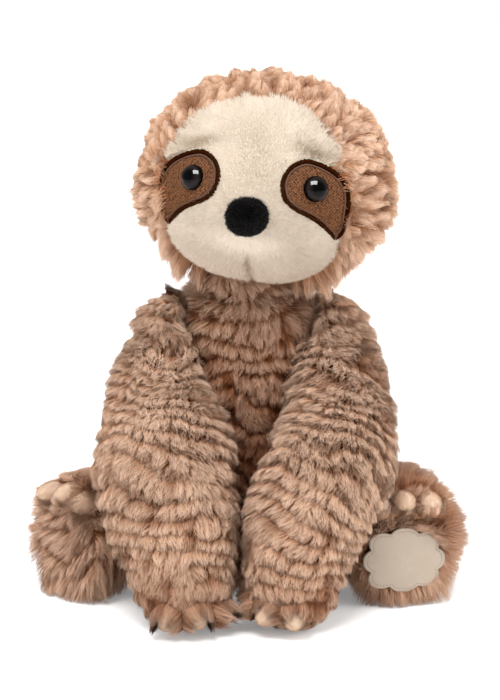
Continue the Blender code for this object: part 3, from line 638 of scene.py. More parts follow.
def grow(name, form, coat, seed, clear=None, lean_room=None, hang=None, lifts=(), pieces=1):
    """Long wavy pile in rows: each row's tips gather into a lip that hangs over the row below, which lies in
    shadow and is given painted shade too.
    """
    rng = np.random.default_rng(seed)
    tips, normals, flow, lay = form.scatter(coat["per_square_mm"], rng)
    count = len(tips)
    across = np.cross(normals, flow)
    row = coat["row"]
    aside, own = find_locks(tips, across, coat["tuft"], coat["per_square_mm"], rng)
    wave = ripple(tips, 32 * MM, 1) + 0.32 * ripple(tips, 13 * MM, 2) + 0.12 * ripple(tips, 4.5 * MM, 3)
    place = (lay / row + coat["wander"] * wave + coat["ragged"] * own[0]) % 1
    gathered = 0.05 + 0.90 * place**0.85
    tips = tips + flow * ((gathered - place + coat["soft"] * rng.standard_normal(count)) * row)[:, None]
    crest = ridge(gathered)
    strength = np.clip(0.74 + 1.0 * ripple(tips, 15 * MM, 4), 0.14, 1)
    hollow = ease(ripple(tips, 9 * MM, 10), 0.30, 0.75)
    height = coat["lip"] - (coat["lip"] + coat["valley"]) * (1 - crest) * strength
    height += coat["lump"] * ripple(tips, 16 * MM, 6) - 2.2 * MM * hollow
    height += coat["lock"] * (own[0] - 1.5 * (aside / coat["tuft"]) ** 2)
    height += 0.35 * MM * rng.standard_normal(count)
    height += coat["tall"] * ease(own[2], 0.35, 0.9) * crest
    frizz = rng.random(count) < 0.05
    height += frizz * rng.uniform(0.3, 2.2, count) * MM
    shade = np.zeros(count)
    # the lifts' painted shade: between the arms, under the head and low by the floor
    for middle, radius, amount, painted_darkening in lifts:
        share = np.exp(-np.sum((tips / MM - middle) ** 2, 1) / (2 * radius**2))
        height += amount * MM * share
        shade += painted_darkening * share
    turn = coat["swirl"] * ripple(tips, 11 * MM, 7) + coat["turn"] * own[1]
    stray = (coat["stray"] + 0.7 * frizz) * rng.standard_normal(count)
    lean_way = unit(flow + across * (turn + stray)[:, None])
    lean = coat["lean"] * rng.uniform(0.7, 1.2, count)
    extra = np.zeros((count, 3)) if hang is None else hang(tips) * rng.uniform(0.4, 1.2, (count, 1))
    lean_way = unit(lean_way + extra / (4 * MM))
    if lean_room is not None:
        lean = np.minimum(lean, lean_room(tips) + 1.0 * MM * rng.standard_normal(count))
    roots = tips - lean_way * lean[:, None] - normals * coat["root"]
    tips = tips + normals * height[:, None] + across * (coat["gather"] * aside)[:, None]
    tips = tips + lean_way * np.linalg.norm(extra, axis=1, keepdims=True)
    way = tips - roots
    bend = normals * coat["bulge"] * rng.uniform(0.6, 1.3, (count, 1))
    curl = across * (coat["curl"] * (0.6 * own[2] + 0.6 * rng.standard_normal(count)))[:, None]
    low_middles = roots + way * 0.36 + bend * 0.9 - across * (0.15 * aside)[:, None] + curl
    high_middles = roots + way * 0.72 + bend - 0.7 * curl
    floor = (0.3 + 0.6 * rng.random(count)) * MM
    spine = [roots, low_middles, high_middles, tips]
    for points in spine:
        points[:, 2] = np.maximum(points[:, 2], floor)
    roll = rng.uniform(-1.2, 1.2, (count, 1))
    side = unit(across * np.cos(roll) + normals * np.sin(roll))
    step = 0.04
    slope = (ridge(gathered + step) - ridge(gathered - step)) / (2 * step)
    slope = slope * (coat["lip"] + coat["valley"]) * strength / row
    facing = normals - flow * (0.55 * slope)[:, None] - across * (0.8 * aside / coat["tuft"])[:, None]
    facing = unit(facing + 0.22 * rng.standard_normal((count, 3)))
    tone = coat["light"] + 0.08 * rng.standard_normal(count) + 0.05 * own[2] + 0.12 * ripple(tips, 21 * MM, 9)
    # painted shade: lower tone in the valleys between rows, in the hollows and under the lifts
    tone -= 0.60 * (1 - crest) * strength + 0.42 * hollow + shade
    # painted shade between locks
    tone -= coat["parting"] * np.minimum((aside / coat["tuft"]) ** 2 * 2, 1)
    tone += 0.12 * frizz
    kept = np.linalg.norm(way, axis=1) < 24 * MM
    if clear is not None:
        kept &= clear(tips) & clear(high_middles)
    half = coat["half_width"] * np.where(frizz, 0.6, 1.0)[:, None]
    made = []
    for part in range(pieces):
        some = np.flatnonzero(kept)[part::pieces]
        label = name if pieces == 1 else f"{name}_{part + 1}"
        shape = [points[some] for points in spine]
        wide = half[some]
        made.append(add_blades(label, shape, side[some], (wide, wide, wide * 0.85), tone[some], facing[some]))
    return made


def grow_short(name, places, normals, flow, tone, length, lean, half_width, sink=0.4 * MM, facing=None):
    """Short straight pile from given places: lengths and leans may differ from strand to strand."""
    across = np.cross(normals, flow)
    length, lean = (np.broadcast_to(v, len(places))[:, None] for v in (length, lean))
    roots = places - normals * sink
    tips = places + normals * length + flow * lean
    middles = (roots + tips) / 2 + normals * length * 0.12
    return add_blades(name, [roots, middles, tips], across, (half_width, half_width * 0.8), tone, facing)


# Materials


def colour(red, green, blue):
    """A screen colour from 0 to 255 as the linear colour that a shader takes."""
    return tuple(float((part / 255) ** 2.2) for part in (red, green, blue)) + (1.0,)


def new_group(name, inputs, outputs):
    group = bpy.data.node_groups.new(name, "ShaderNodeTree")
    for label, kind, value in inputs:
        socket = group.interface.new_socket(label, in_out="INPUT", socket_type=kind)
        socket.default_value = value
    for label, kind in outputs:
        group.interface.new_socket(label, in_out="OUTPUT", socket_type=kind)
    return group, group.nodes.new("NodeGroupInput"), group.nodes.new("NodeGroupOutput")


def mix_colours(nodes, links, factor, first, second, mode="MIX"):
    node = nodes.new("ShaderNodeMix")
    node.data_type = "RGBA"
    node.blend_type = mode
    for socket, value in ((node.inputs["Factor"], factor), (node.inputs[6], first), (node.inputs[7], second)):
        if isinstance(value, (float, tuple)):
            socket.default_value = value
        else:
            links.new(value, socket)
    return node.outputs[2]


def sums(nodes, links, operation, first, second):
    node = nodes.new("ShaderNodeMath")
    node.operation = operation
    for socket, value in zip(node.inputs, (first, second)):
        if isinstance(value, (int, float)):
            socket.default_value = value
        else:
            links.new(value, socket)
    return node.outputs[0]


TINTS = ("Root", "Middle", "Tip", "Dark", "Light")


def stretch(nodes, links, value, low, high):
    """0 where a value is low and 1 where it is high."""
    node = nodes.new("ShaderNodeMapRange")
    node.inputs[1].default_value, node.inputs[2].default_value = low, high
    links.new(value, node.inputs[0])
    return node.outputs[0]


def make_pile_tint():
    """Colour of a strand from its root to its tip, dimmed or lifted by its tone, which holds random changes
    and, on the pile, painted light and shade.
    """
    group, given, result = new_group(
        "pile_tint",
        [(label, "NodeSocketColor", (0.5, 0.5, 0.5, 1)) for label in TINTS],
        [("Colour", "NodeSocketColor")],
    )
    nodes, links = group.nodes, group.links
    layer = nodes.new("ShaderNodeUVMap")
    layer.uv_map = "OFBake"
    split = nodes.new("ShaderNodeSeparateXYZ")
    links.new(layer.outputs[0], split.inputs[0])
    tone, along = split.outputs[0], split.outputs[1]
    low = stretch(nodes, links, along, 0.05, 0.62)
    high = stretch(nodes, links, along, 0.55, 1.0)
    lower = mix_colours(nodes, links, low, given.outputs["Root"], given.outputs["Middle"])
    whole = mix_colours(nodes, links, high, lower, given.outputs["Tip"])
    shade = mix_colours(nodes, links, tone, given.outputs["Dark"], given.outputs["Light"])
    tinted = mix_colours(nodes, links, 1.0, whole, shade, "MULTIPLY")
    links.new(tinted, result.inputs["Colour"])
    return group


def make_woven():
    """Fine crossing threads, as a mask of the raised ones and a height."""
    group, given, result = new_group(
        "woven_threads",
        [("Threads", "NodeSocketFloat", 1200.0), ("Wobble", "NodeSocketFloat", 0.6)],
        [("Mask", "NodeSocketFloat"), ("Height", "NodeSocketFloat")],
    )
    nodes, links = group.nodes, group.links
    where = nodes.new("ShaderNodeTexCoord").outputs["Object"]
    noise = nodes.new("ShaderNodeTexNoise")
    noise.inputs["Scale"].default_value = 1300
    noise.inputs["Detail"].default_value = 3.0
    links.new(where, noise.inputs["Vector"])
    bands = []
    for turn in (radians(45), radians(-45)):
        mapping = nodes.new("ShaderNodeMapping")
        mapping.inputs["Rotation"].default_value = (0, turn, 0)
        links.new(where, mapping.inputs["Vector"])
        wave = nodes.new("ShaderNodeTexWave")
        wave.bands_direction = "X"
        wave.inputs["Distortion"].default_value = 3.5
        wave.inputs["Detail Scale"].default_value = 1.5
        links.new(given.outputs["Threads"], wave.inputs["Scale"])
        links.new(mapping.outputs[0], wave.inputs["Vector"])
        bands.append(wave.outputs["Fac"])
    crossed = sums(nodes, links, "MULTIPLY", bands[0], bands[1])
    spread = stretch(nodes, links, noise.outputs["Fac"], 0.3, 0.7)
    mixed = nodes.new("ShaderNodeMix")
    links.new(given.outputs["Wobble"], mixed.inputs[0])
    links.new(crossed, mixed.inputs[2])
    links.new(spread, mixed.inputs[3])
    links.new(mixed.outputs[0], result.inputs["Mask"])
    links.new(mixed.outputs[0], result.inputs["Height"])
    return group


def make_grain():
    """Fine grain: a mask that changes over the surface and a height."""
    group, given, result = new_group(
        "fine_grain",
        [("Size", "NodeSocketFloat", 900.0), ("Patches", "NodeSocketFloat", 60.0)],
        [("Grain", "NodeSocketFloat"), ("Patch", "NodeSocketFloat")],
    )
    nodes, links = group.nodes, group.links
    where = nodes.new("ShaderNodeTexCoord").outputs["Object"]
    for label, output, detail in (("Size", "Grain", 4.0), ("Patches", "Patch", 2.0)):
        noise = nodes.new("ShaderNodeTexNoise")
        noise.inputs["Detail"].default_value = detail
        links.new(where, noise.inputs["Vector"])
        links.new(given.outputs[label], noise.inputs["Scale"])
        links.new(noise.outputs["Fac"], result.inputs[output])
    return group


PILE_TINT, WOVEN, GRAIN = make_pile_tint(), make_woven(), make_grain()


def new_material(name, roughness, sheen=0.0, base=None, shine=0.3):
    material = bpy.data.materials.new(name)
    material.use_nodes = True
    shader = material.node_tree.nodes["Principled BSDF"]
    shader.inputs["Roughness"].default_value = roughness
    shader.inputs["Sheen Weight"].default_value = sheen
    shader.inputs["Specular IOR Level"].default_value = shine
    if base:
        shader.inputs["Base Color"].default_value = base
    return material, material.node_tree.nodes, material.node_tree.links, shader


def pile_material(name, root, middle, tip, dark, light, roughness=0.75, sheen=0.15, shine=0.08, soft=False):
    """Pile of one colour. Soft pile is lit as the side that its strands face, seen from either side."""
    material, nodes, links, shader = new_material(name, roughness, sheen, shine=shine)
    if soft:
        strand = nodes.new("ShaderNodeNewGeometry")
        turned = sums(nodes, links, "MULTIPLY", strand.outputs["Backfacing"], -2.0)
        turned = sums(nodes, links, "ADD", turned, 1.0)
        outward = nodes.new("ShaderNodeVectorMath")
        outward.operation = "SCALE"
        links.new(strand.outputs["Normal"], outward.inputs[0])
        links.new(turned, outward.inputs["Scale"])
        links.new(outward.outputs[0], shader.inputs["Normal"])
    tint = nodes.new("ShaderNodeGroup")
    tint.node_tree = PILE_TINT
    for label, value in zip(TINTS, (root, middle, tip, dark, light)):
        tint.inputs[label].default_value = value
    links.new(tint.outputs[0], shader.inputs["Base Color"])
    return material


def raise_surface(nodes, links, shader, height, strength, distance):
    """Let a height stand up a little from the surface."""
    lift = nodes.new("ShaderNodeBump")
    lift.inputs["Strength"].default_value = strength
    lift.inputs["Distance"].default_value = distance
    links.new(height, lift.inputs["Height"])
    links.new(lift.outputs[0], shader.inputs["Normal"])


def grained_material(name, first, second, size, patches, roughness, bump, sheen=0.0, shine=0.2):
    """Grain that shifts between two colours and stands up a little from the surface."""
    material, nodes, links, shader = new_material(name, roughness, sheen, shine=shine)
    grain = nodes.new("ShaderNodeGroup")
    grain.node_tree = GRAIN
    grain.inputs["Size"].default_value, grain.inputs["Patches"].default_value = size, patches
    both = sums(nodes, links, "ADD", grain.outputs["Grain"], grain.outputs["Patch"])
    factor = sums(nodes, links, "MULTIPLY", both, 0.5)
    links.new(mix_colours(nodes, links, factor, first, second), shader.inputs["Base Color"])
    raise_surface(nodes, links, shader, grain.outputs["Grain"], 0.5, bump)
    return material


def woven_material(name, first, second, threads, roughness, bump):
    material, nodes, links, shader = new_material(name, roughness, shine=0.02)
    weave = nodes.new("ShaderNodeGroup")
    weave.node_tree = WOVEN
    weave.inputs["Threads"].default_value = threads
    links.new(mix_colours(nodes, links, weave.outputs["Mask"], first, second), shader.inputs["Base Color"])
    raise_surface(nodes, links, shader, weave.outputs["Height"], 0.8, bump)
    return material


WHITE = (1.0, 1.0, 1.0, 1)
BROWN_PILE = pile_material(
    "brown_pile", colour(176, 106, 60), colour(223, 176, 142), colour(244, 213, 190),
    (0.27, 0.125, 0.05, 1), WHITE, roughness=0.9, sheen=0.0, soft=True,
)
# the backing cloth, coloured well below the pile's roots: its own colour and partly painted shade deep
# between the rows
BROWN_BACKING = grained_material(
    "brown_backing", colour(66, 36, 19), colour(92, 54, 31), 700, 90, 0.9, 0.3 * MM,
)
# its Light tint above 1 lets the painted light under the nose rise past the tip colour
CREAM_PILE = pile_material(
    "cream_pile", colour(224, 207, 186), colour(236, 221, 203), colour(240, 228, 213),
    (0.42, 0.36, 0.29, 1), (1.15, 1.14, 1.13, 1), roughness=0.9, sheen=0.0, soft=True,
)
CREAM_BACKING = grained_material(
    "cream_backing", colour(232, 220, 198), colour(250, 241, 222), 800, 70, 0.9, 0.3 * MM,
)
CLAW_PLUSH = grained_material(
    "claw_plush", colour(206, 176, 150), colour(216, 190, 166), 1500, 120, 0.9, 0.25 * MM, 0.2,
)
CLAW_PILE = pile_material(
    "claw_pile", colour(204, 174, 148), colour(220, 194, 170), colour(230, 207, 186),
    (0.82, 0.78, 0.72, 1), WHITE, roughness=0.85,
)
PATCH_CLOTH = woven_material(
    "patch_cloth_brown", colour(14, 4, 1), colour(142, 97, 69), 300, 0.9, 0.4 * MM,
)
PATCH_THREAD = pile_material(
    "patch_thread_dark", colour(36, 17, 7), colour(58, 32, 17), colour(40, 20, 9),
    (0.50, 0.44, 0.38, 1), WHITE, roughness=0.8, sheen=0.0, shine=0.0,
)
PATCH_CORD = grained_material(
    "patch_cord_brown", colour(60, 34, 20), colour(104, 68, 46), 1600, 300, 0.8, 0.2 * MM,
)
NOSE_FLOCK = grained_material(
    "nose_flock", colour(4, 4, 4), colour(10, 10, 10), 2600, 300, 0.95, 0.25 * MM, shine=0.0,
)
NOSE_PILE = pile_material(
    "nose_pile", colour(30, 30, 30), colour(64, 62, 61), colour(98, 96, 94),
    (0.16, 0.16, 0.16, 1), WHITE, roughness=0.95, sheen=0.0, shine=0.0,
)
# the mouth's thread, greyed to the shade of its crease: its own colour and painted shade
MOUTH_THREAD = grained_material(
    "mouth_thread_grey", colour(150, 134, 112), colour(182, 168, 146), 2400, 200, 0.9, 0.2 * MM,
)
PATCH_LEATHER = grained_material(
    "foot_patch_leather", colour(154, 140, 125), colour(174, 160, 145), 1700, 110, 0.6, 0.12 * MM,
)
PATCH_STITCH = grained_material(
    "foot_patch_stitch", colour(62, 50, 38), colour(92, 76, 60), 3000, 300, 0.7, 0.1 * MM,
)
WASHER_PLASTIC = grained_material(
    "washer_white_plastic", colour(226, 226, 222), colour(238, 238, 236), 600, 40, 0.4, 0.02 * MM,
)
NECK_CLOTH = woven_material(
    "neck_band_cloth", colour(120, 84, 62), colour(150, 110, 84), 500, 0.9, 0.3 * MM,
)


def make_eye_gloss():
    """A dark glassy dome: black in the middle, a brown-grey ring round it and a black rim."""
    material, nodes, links, shader = new_material("eye_gloss_dark", 0.05, shine=0.12)
    where = nodes.new("ShaderNodeTexCoord").outputs["Object"]
    flat = nodes.new("ShaderNodeVectorMath")
    flat.operation = "MULTIPLY"
    flat.inputs[1].default_value = (1, 1, 0)
    links.new(where, flat.inputs[0])
    length = nodes.new("ShaderNodeVectorMath")
    length.operation = "LENGTH"
    links.new(flat.outputs[0], length.inputs[0])
    share = sums(nodes, links, "DIVIDE", length.outputs["Value"], EYE_RADIUS)
    ramp = nodes.new("ShaderNodeValToRGB")
    black, ring, rim = (2, 2, 2), (38, 32, 31), (8, 6, 6)
    stops = ((0.0, black), (0.40, black), (0.50, (20, 16, 16)), (0.80, ring), (0.94, rim))
    elements = ramp.color_ramp.elements
    while len(elements) < len(stops):
        elements.new(0.5)
    for element, (place, shade) in zip(elements, stops):
        element.position, element.color = place, colour(*shade)
    links.new(share, ramp.inputs[0])
    links.new(ramp.outputs[0], shader.inputs["Base Color"])
    return material


EYE_GLOSS = make_eye_gloss()


def dress(piece, material, body, nodes=()):
    """Give a piece its material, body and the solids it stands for."""
    piece.data.materials.clear()
    piece.data.materials.append(material)
    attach(piece, body)
    if nodes:
        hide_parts(*nodes)
    return piece


# Claws and the foot's patch, fitted to their solids


def solid_axes(node):
    """The middle of a solid, its own axes from the longest to the shortest, and half its size along each."""
    points = np.array([v.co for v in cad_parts[node].data.vertices])
    low, high = points.min(0), points.max(0)
    middle = (low + high) / 2
    spread = np.linalg.svd(points - points.mean(0), full_matrices=False)[2]
    reach = (points - middle) @ spread.T
    middle = middle + ((reach.max(0) + reach.min(0)) / 2) @ spread
    return middle, spread, (reach.max(0) - reach.min(0)) / 2


def claw_names(kind, name):
    return [f"{kind}_claw_{name}_{i}" for i in (1, 2, 3)]


def outside_claws(names, swell):
    shapes = [solid_axes(node) for node in names]

    def keep(points):
        clear = np.ones(len(points), bool)
        for middle, axes, half in shapes:
            off = ((points - middle) @ axes.T) / (half + swell)
            clear &= np.sum(off**2, 1) > 1
        return clear

    return keep


def off_foot_patch(clear):
    middle, axes, _ = solid_axes("foot_patch")

    def keep(points):
        own = (points - middle) @ axes.T
        out = np.hypot(own[:, 0] / FOOT_PATCH_HALF[0], own[:, 1] / FOOT_PATCH_HALF[1])
        return clear(points) & ((out > 0.97) | (np.abs(own[:, 2]) > 16 * MM))

    return keep


# Body, head and limbs

CLAW_GAP = 0.3 * MM
TORSO_SOLIDS = ("torso_cover", "torso_stuffing", "pellet_bag")


def make_body():
    form = body_form()
    dress(add_skin("torso_backing", form, 5.4 * MM), BROWN_BACKING, "body", TORSO_SOLIDS)
    for piece in grow("torso_pile", form, LONG_COAT, 11, lifts=LIFTS["body"], pieces=2):
        dress(piece, BROWN_PILE, "body")


def make_head():
    """The head's backing goes all round, also under the face."""
    form = head_form()
    grid = np.meshgrid(np.linspace(0.02, pi - 0.02, 90), full_turn(120), indexing="ij")
    backing = add_skin("head_backing", Form(to_toy(head_points(*grid))), 5.6 * MM)
    dress(backing, BROWN_BACKING, "head", ("head_cover", "head_stuffing"))
    ways = {"lean_room": beyond_face, "hang": head_hang, "lifts": LIFTS["head"]}
    for piece in grow("head_pile", form, HEAD_COAT, 12, pieces=2, **ways):
        dress(piece, BROWN_PILE, "head")


def dress_limb(limb, name, form, depth, coat, seed, clear, hang=None):
    """A limb's backing and its pile."""
    body = f"{limb}_{name}"
    solids = (f"{limb}_cover_{name}", f"{limb}_stuffing_{name}")
    dress(add_skin(f"{limb}_backing_{name}", form, depth), BROWN_BACKING, body, solids)
    for piece in grow(f"{limb}_pile_{name}", form, coat, seed, clear, hang=hang, lifts=LIFTS[body]):
        dress(piece, BROWN_PILE, body)


def make_limbs(name, side):
    """An arm and a leg. The right foot's third claw lies under the pile."""
    clear = outside_claws(claw_names("hand", name), CLAW_GAP)
    dress_limb("arm", name, arm_form(name, side), 5.4 * MM, ARM_COAT, 20 + side, clear)
    clear = outside_claws(claw_names("foot", name)[:3 if name == "left" else 2], CLAW_GAP)
    if name == "left":
        clear = off_foot_patch(clear)
    dress_limb("leg", name, leg_form(name, side), 5.0 * MM, LEG_COAT, 30 + side, clear, sole_fringe)


# Face


def patch_outline(side, inset=0.0, count=180):
    """The eye patch's outline as a closed smooth curve, drawn in from its edge where there is room."""
    knots = PATCH_SHARES * PATCH_SIZE + PATCH_PLACE
    t = np.linspace(0, len(knots), count, endpoint=False)
    i, t = t.astype(int), (t % 1)[:, None]
    before, here, then, after = (knots[(i + k) % len(knots)] for k in (-1, 0, 1, 2))
    bend = (2 * before - 5 * here + 4 * then - after) * t**2 + (3 * here - before - 3 * then + after) * t**3
    curve = here + 0.5 * ((then - before) * t + bend)
    ahead = unit(np.roll(curve, -1, 0) - np.roll(curve, 1, 0))
    inward = np.stack([-ahead[:, 1], ahead[:, 0]], 1)
    inward *= np.sign(dot(inward, knots.mean(0) - curve).sum())
    reach = curve[None] - curve[:, None]
    depth, aside = np.sum(reach * inward[:, None], -1), np.abs(np.sum(reach * ahead[:, None], -1))
    opposite = np.where((aside < 1.2 * MM) & (depth > 0.5 * MM), depth, 1.0).min(1)
    drawn = np.minimum(inset, 0.40 * opposite)
    for _ in range(6):
        drawn = np.minimum(drawn, (np.roll(drawn, 1) + 2 * drawn + np.roll(drawn, -1)) / 4)
    return (curve + inward * drawn[:, None]) * (side, 1)


def inside_outline(x, z, outline):
    """Whether places lie inside a closed outline."""
    ax, az = outline[:, 0], outline[:, 1]
    bx, bz = np.roll(ax, -1), np.roll(az, -1)
    crossing = (az[None] > z[:, None]) != (bz[None] > z[:, None])
    slope = (bx - ax) / np.where(np.abs(bz - az) < 1e-12, 1e-12, bz - az)
    hits = x[:, None] < ax[None] + (z[:, None] - az[None]) * slope[None]
    return np.sum(crossing & hits, 1) % 2 == 1


def make_face():
    form = face_form()
    backing = add_skin("face_backing", form, 1.2 * MM)
    dress(backing, CREAM_BACKING, "head", ("face_panel",))
    rng = np.random.default_rng(41)
    places, normals, flow, _ = form.scatter(8.5, rng)
    own = in_head(places)
    x, z = own[:, 0], own[:, 2]
    out = 1 + past_face(own) / FACE_RADIUS
    kept = np.hypot(x / NOSE_HALF[0], (z + NOSE_DROP) / NOSE_HALF[1]) > 0.90
    for side in SIDES.values():
        kept &= ~inside_outline(x, z, patch_outline(side, 0.4 * MM))
    places, normals, flow, x, z, out = (v[kept] for v in (places, normals, flow, x, z, out))
    count = len(places)
    fringe = ease(out, 0.80, 1.0) * ease(z, -4 * MM, 18 * MM)
    chin = ease(-z, 14 * MM, 34 * MM)
    bridge = np.exp(-((x / (15 * MM)) ** 2)) * ease(z, -6 * MM, 8 * MM) * (1 - ease(z, 26 * MM, 40 * MM))
    painted_light_under_nose = np.exp(-((x / (14 * MM)) ** 2 + ((z + 22 * MM) / (5 * MM)) ** 2))
    length = (1.5 + 0.9 * fringe + 1.1 * chin - 0.2 * bridge) * MM * rng.uniform(0.75, 1.2, count)
    lean = (1.4 + 3.4 * fringe + 1.8 * chin - 1.0 * bridge) * MM * rng.uniform(0.6, 1.3, count)
    lock = ripple(places, 1.9 * MM, 5)
    swirl = 0.55 * ripple(places, 6 * MM, 7) + 0.4 * lock + (0.30 + 0.7 * bridge) * rng.standard_normal(count)
    flow = unit(flow + np.cross(normals, flow) * swirl[:, None])
    past_brow = np.abs(x) - 26 * MM
    painted_brow_shade = (past_brow / (10 * MM)) ** 2 + ((z - 19 * MM + 0.35 * past_brow) / (2.8 * MM)) ** 2
    # tone: random changes, painted light down the bridge and under the nose, painted shade on the chin, in
    # the mouth's crease and in a band above each eye patch, and a little dimmer near the face's upper edge
    tone = 0.63 + (0.06 + 0.04 * bridge) * rng.standard_normal(count) + 0.08 * (1 - bridge) * lock
    tone += 0.05 * bridge + 0.60 * painted_light_under_nose - 0.07 * ripple(places, 9 * MM, 9) - 0.08 * chin
    tone -= 0.75 * mouth_crease(x, z) + 0.62 * np.exp(-painted_brow_shade) + 0.08 * fringe
    facing = normals + 0.22 * rng.standard_normal((count, 3))
    pile = grow_short("face_pile", places, normals, flow, tone, length, lean, 0.12 * MM, facing=facing)
    dress(pile, CREAM_PILE, "head")


def make_eye_patch(name, side):
    """Embroidered cloth with a satin-stitched edge: a row of short raised threads laid across it."""
    low = -FACE_SINK + 0.35 * MM
    inner = patch_outline(side, BORDER_WIDTH - 0.4 * MM)
    middle = inner.mean(0)
    shares = np.append(np.linspace(0, 1, 16), (1.0, 1.0))[:, None, None]
    lifts = np.append(1.0 * MM - 0.25 * MM * np.linspace(0, 1, 16) ** 4, (0.3 * MM, -0.6 * MM))
    spots = middle + (inner[None] - middle) * shares
    points, _ = face_point(spots[..., 0], spots[..., 1], low + lifts[:, None] + 0 * spots[..., 0])
    rows, columns = points.shape[:2]
    faces = grid_faces(rows, columns, flip=side > 0)
    cloth = add_mesh(f"eye_patch_cloth_{name}", to_toy(points).reshape(-1, 3), faces)
    dress(cloth, PATCH_CLOTH, "head", (f"eye_patch_{name}",))

    rng = np.random.default_rng(51 + side)
    count = 330
    outer, inner = patch_outline(side, 0.0, count), patch_outline(side, BORDER_WIDTH - 1.0 * MM, count)
    outer = outer + (outer - inner) * rng.uniform(-0.06, 0.14, (count, 1))
    inner = inner + (inner - outer) * rng.uniform(-0.03, 0.05, (count, 1))
    way = (outer + inner) / 2
    ahead = unit(np.roll(way, -1, 0) - np.roll(way, 1, 0))
    arch = np.linspace(0, pi, 9)
    profile = []
    for turn in arch:
        spot = inner + (outer - inner) * (1 - cos(turn)) / 2
        lift = low + 0.15 * MM + 1.35 * MM * sin(turn) ** 0.7
        profile.append((spot, lift))
    threads = []
    for edge, drop in ((-1, 0.22 * MM), (-0.45, 0.04 * MM), (0.45, 0.04 * MM), (1, 0.22 * MM)):
        line = []
        for spot, lift in profile:
            moved = spot + ahead * edge * 0.30 * MM
            line.append(face_point(moved[:, 0], moved[:, 1], lift - drop + 0 * moved[:, 0])[0])
        threads.append(np.stack(line, 1))
    points = to_toy(np.stack(threads, 1))
    steps = len(arch)
    base = np.arange(count)[:, None] * 4 * steps
    quads = []
    for i in range(3):
        for j in range(steps - 1):
            a = i * steps + j
            quad = [a, a + 1, a + steps + 1, a + steps]
            quads.append(quad if side > 0 else quad[::-1])
    faces = (base[:, None] + np.array(quads)[None]).reshape(-1, 4)
    satin = add_mesh(f"eye_patch_satin_{name}", points.reshape(-1, 3), [tuple(face) for face in faces])
    corners = [k for quad in quads for k in quad]
    tone = np.repeat(0.42 + 0.22 * rng.standard_normal(count), len(corners))
    across = np.tile([0.02 + 0.96 * (k % steps) / (steps - 1) for k in corners], count)
    nudge = np.tile([0.004 * (k // steps) for k in corners], count)
    spots = np.stack([np.clip(tone, 0, 0.97) + nudge, across], -1)
    layer = satin.data.uv_layers.new(name="OFBake")
    layer.uv.foreach_set("vector", spots.astype(np.float32).ravel())
    dress(satin, PATCH_THREAD, "head", (f"eye_patch_edge_{name}",))

    way = patch_outline(side, BORDER_WIDTH - 0.5 * MM, count)
    aside = unit(np.roll(way, -1, 0) - np.roll(way, 1, 0))[:, ::-1] * (1, -1)
    rings_of_cord = []
    for turn in np.linspace(0, 2 * pi, 8, endpoint=False):
        spot = way + aside * 0.38 * MM * cos(turn)
        height = low + 0.95 * MM + 0.36 * MM * sin(turn)
        rings_of_cord.append(face_point(spot[:, 0], spot[:, 1], height + 0 * spot[:, 0])[0])
    points = to_toy(np.stack(rings_of_cord))
    faces = grid_faces(len(rings_of_cord) + 1, count)
    faces = [tuple(k % (len(rings_of_cord) * count) for k in face) for face in faces]
    cord = add_mesh(f"eye_patch_cord_{name}", points.reshape(-1, 3), faces)
    dress(cord, PATCH_CORD, "head")


def make_mouth():
    """The thread that draws the muzzle in, deep in its crease."""
    drops = np.linspace(25, 42, 24) * MM
    path, normals = face_point(0 * drops, -drops, -FACE_SINK - 0.3 * MM + 0 * drops)
    path, normals = to_toy(path), turn_to_toy(normals)
    across = turn_to_toy(np.array((1.0, 0, 0)))
    turn = full_turn(10)
    ring = across * np.cos(turn)[:, None] + normals[:, None] * np.sin(turn)[:, None, None].transpose(1, 0, 2)
    points = path[:, None] + ring * 0.35 * MM
    rows, columns = points.shape[:2]
    thread = add_mesh("mouth_crease_thread", points.reshape(-1, 3), closed_faces(rows, columns))
    dress(thread, MOUTH_THREAD, "head", ("mouth_thread",))


def dome(name, half_sizes, rings_count, sides, skirt, squareness=2.0, fullness=2.0):
    """A dome about its own Z axis, with a rounded foot that turns under."""
    turn = np.linspace(0.02, pi / 2, rings_count)
    radii = np.append(np.sin(turn), (1.0, 0.93))
    heights = np.append(np.cos(turn) ** (2 / squareness) * half_sizes[2], (-0.35 * skirt, -skirt))
    around = full_turn(sides)
    corners = (np.abs(np.cos(around)) ** fullness + np.abs(np.sin(around)) ** fullness) ** (-1 / fullness)
    points = np.stack([
        half_sizes[0] * radii[:, None] * np.cos(around) * corners,
        half_sizes[1] * radii[:, None] * np.sin(around) * corners, heights[:, None] + 0 * around,
    ], -1)
    return add_mesh(name, points.reshape(-1, 3), closed_faces(len(radii), sides, True)), points


def stud_frame(place, normal):
    """The frame that sets a stud at a place with its own Z along a normal."""
    turn = Vector(normal).to_track_quat("Z", "Y").to_matrix().to_4x4()
    return Matrix.Translation(Vector(place)) @ turn


def stud_top(node):
    """The tip of a stud's dome and the way it points, from its solid."""
    solid = np.array([v.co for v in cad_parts[node].data.vertices])
    middle = solid.mean(0)
    axes = np.linalg.svd(solid - middle, full_matrices=False)[2]
    forward = turn_to_toy(FORWARDS)
    axis = axes[np.argmax(np.abs(axes @ forward))]
    axis = axis * np.sign(axis @ forward)
    return middle + axis * ((solid - middle) @ axis).max(), axis


def make_eye(name):
    """A glassy dome on its stud, a little to the side of its solid, as the photograph has it."""
    node = f"eye_{name}"
    top, normal = stud_top(node)
    top = top + turn_to_toy(np.array((EYE_SHIFT, 0, 0)))
    piece, _ = dome(f"eye_dome_{name}", (EYE_RADIUS, EYE_RADIUS, EYE_HEIGHT), 28, 72, 0.9 * MM)
    piece.matrix_world = stud_frame(top - normal * EYE_HEIGHT, normal)
    dress(piece, EYE_GLOSS, "head", (node,))


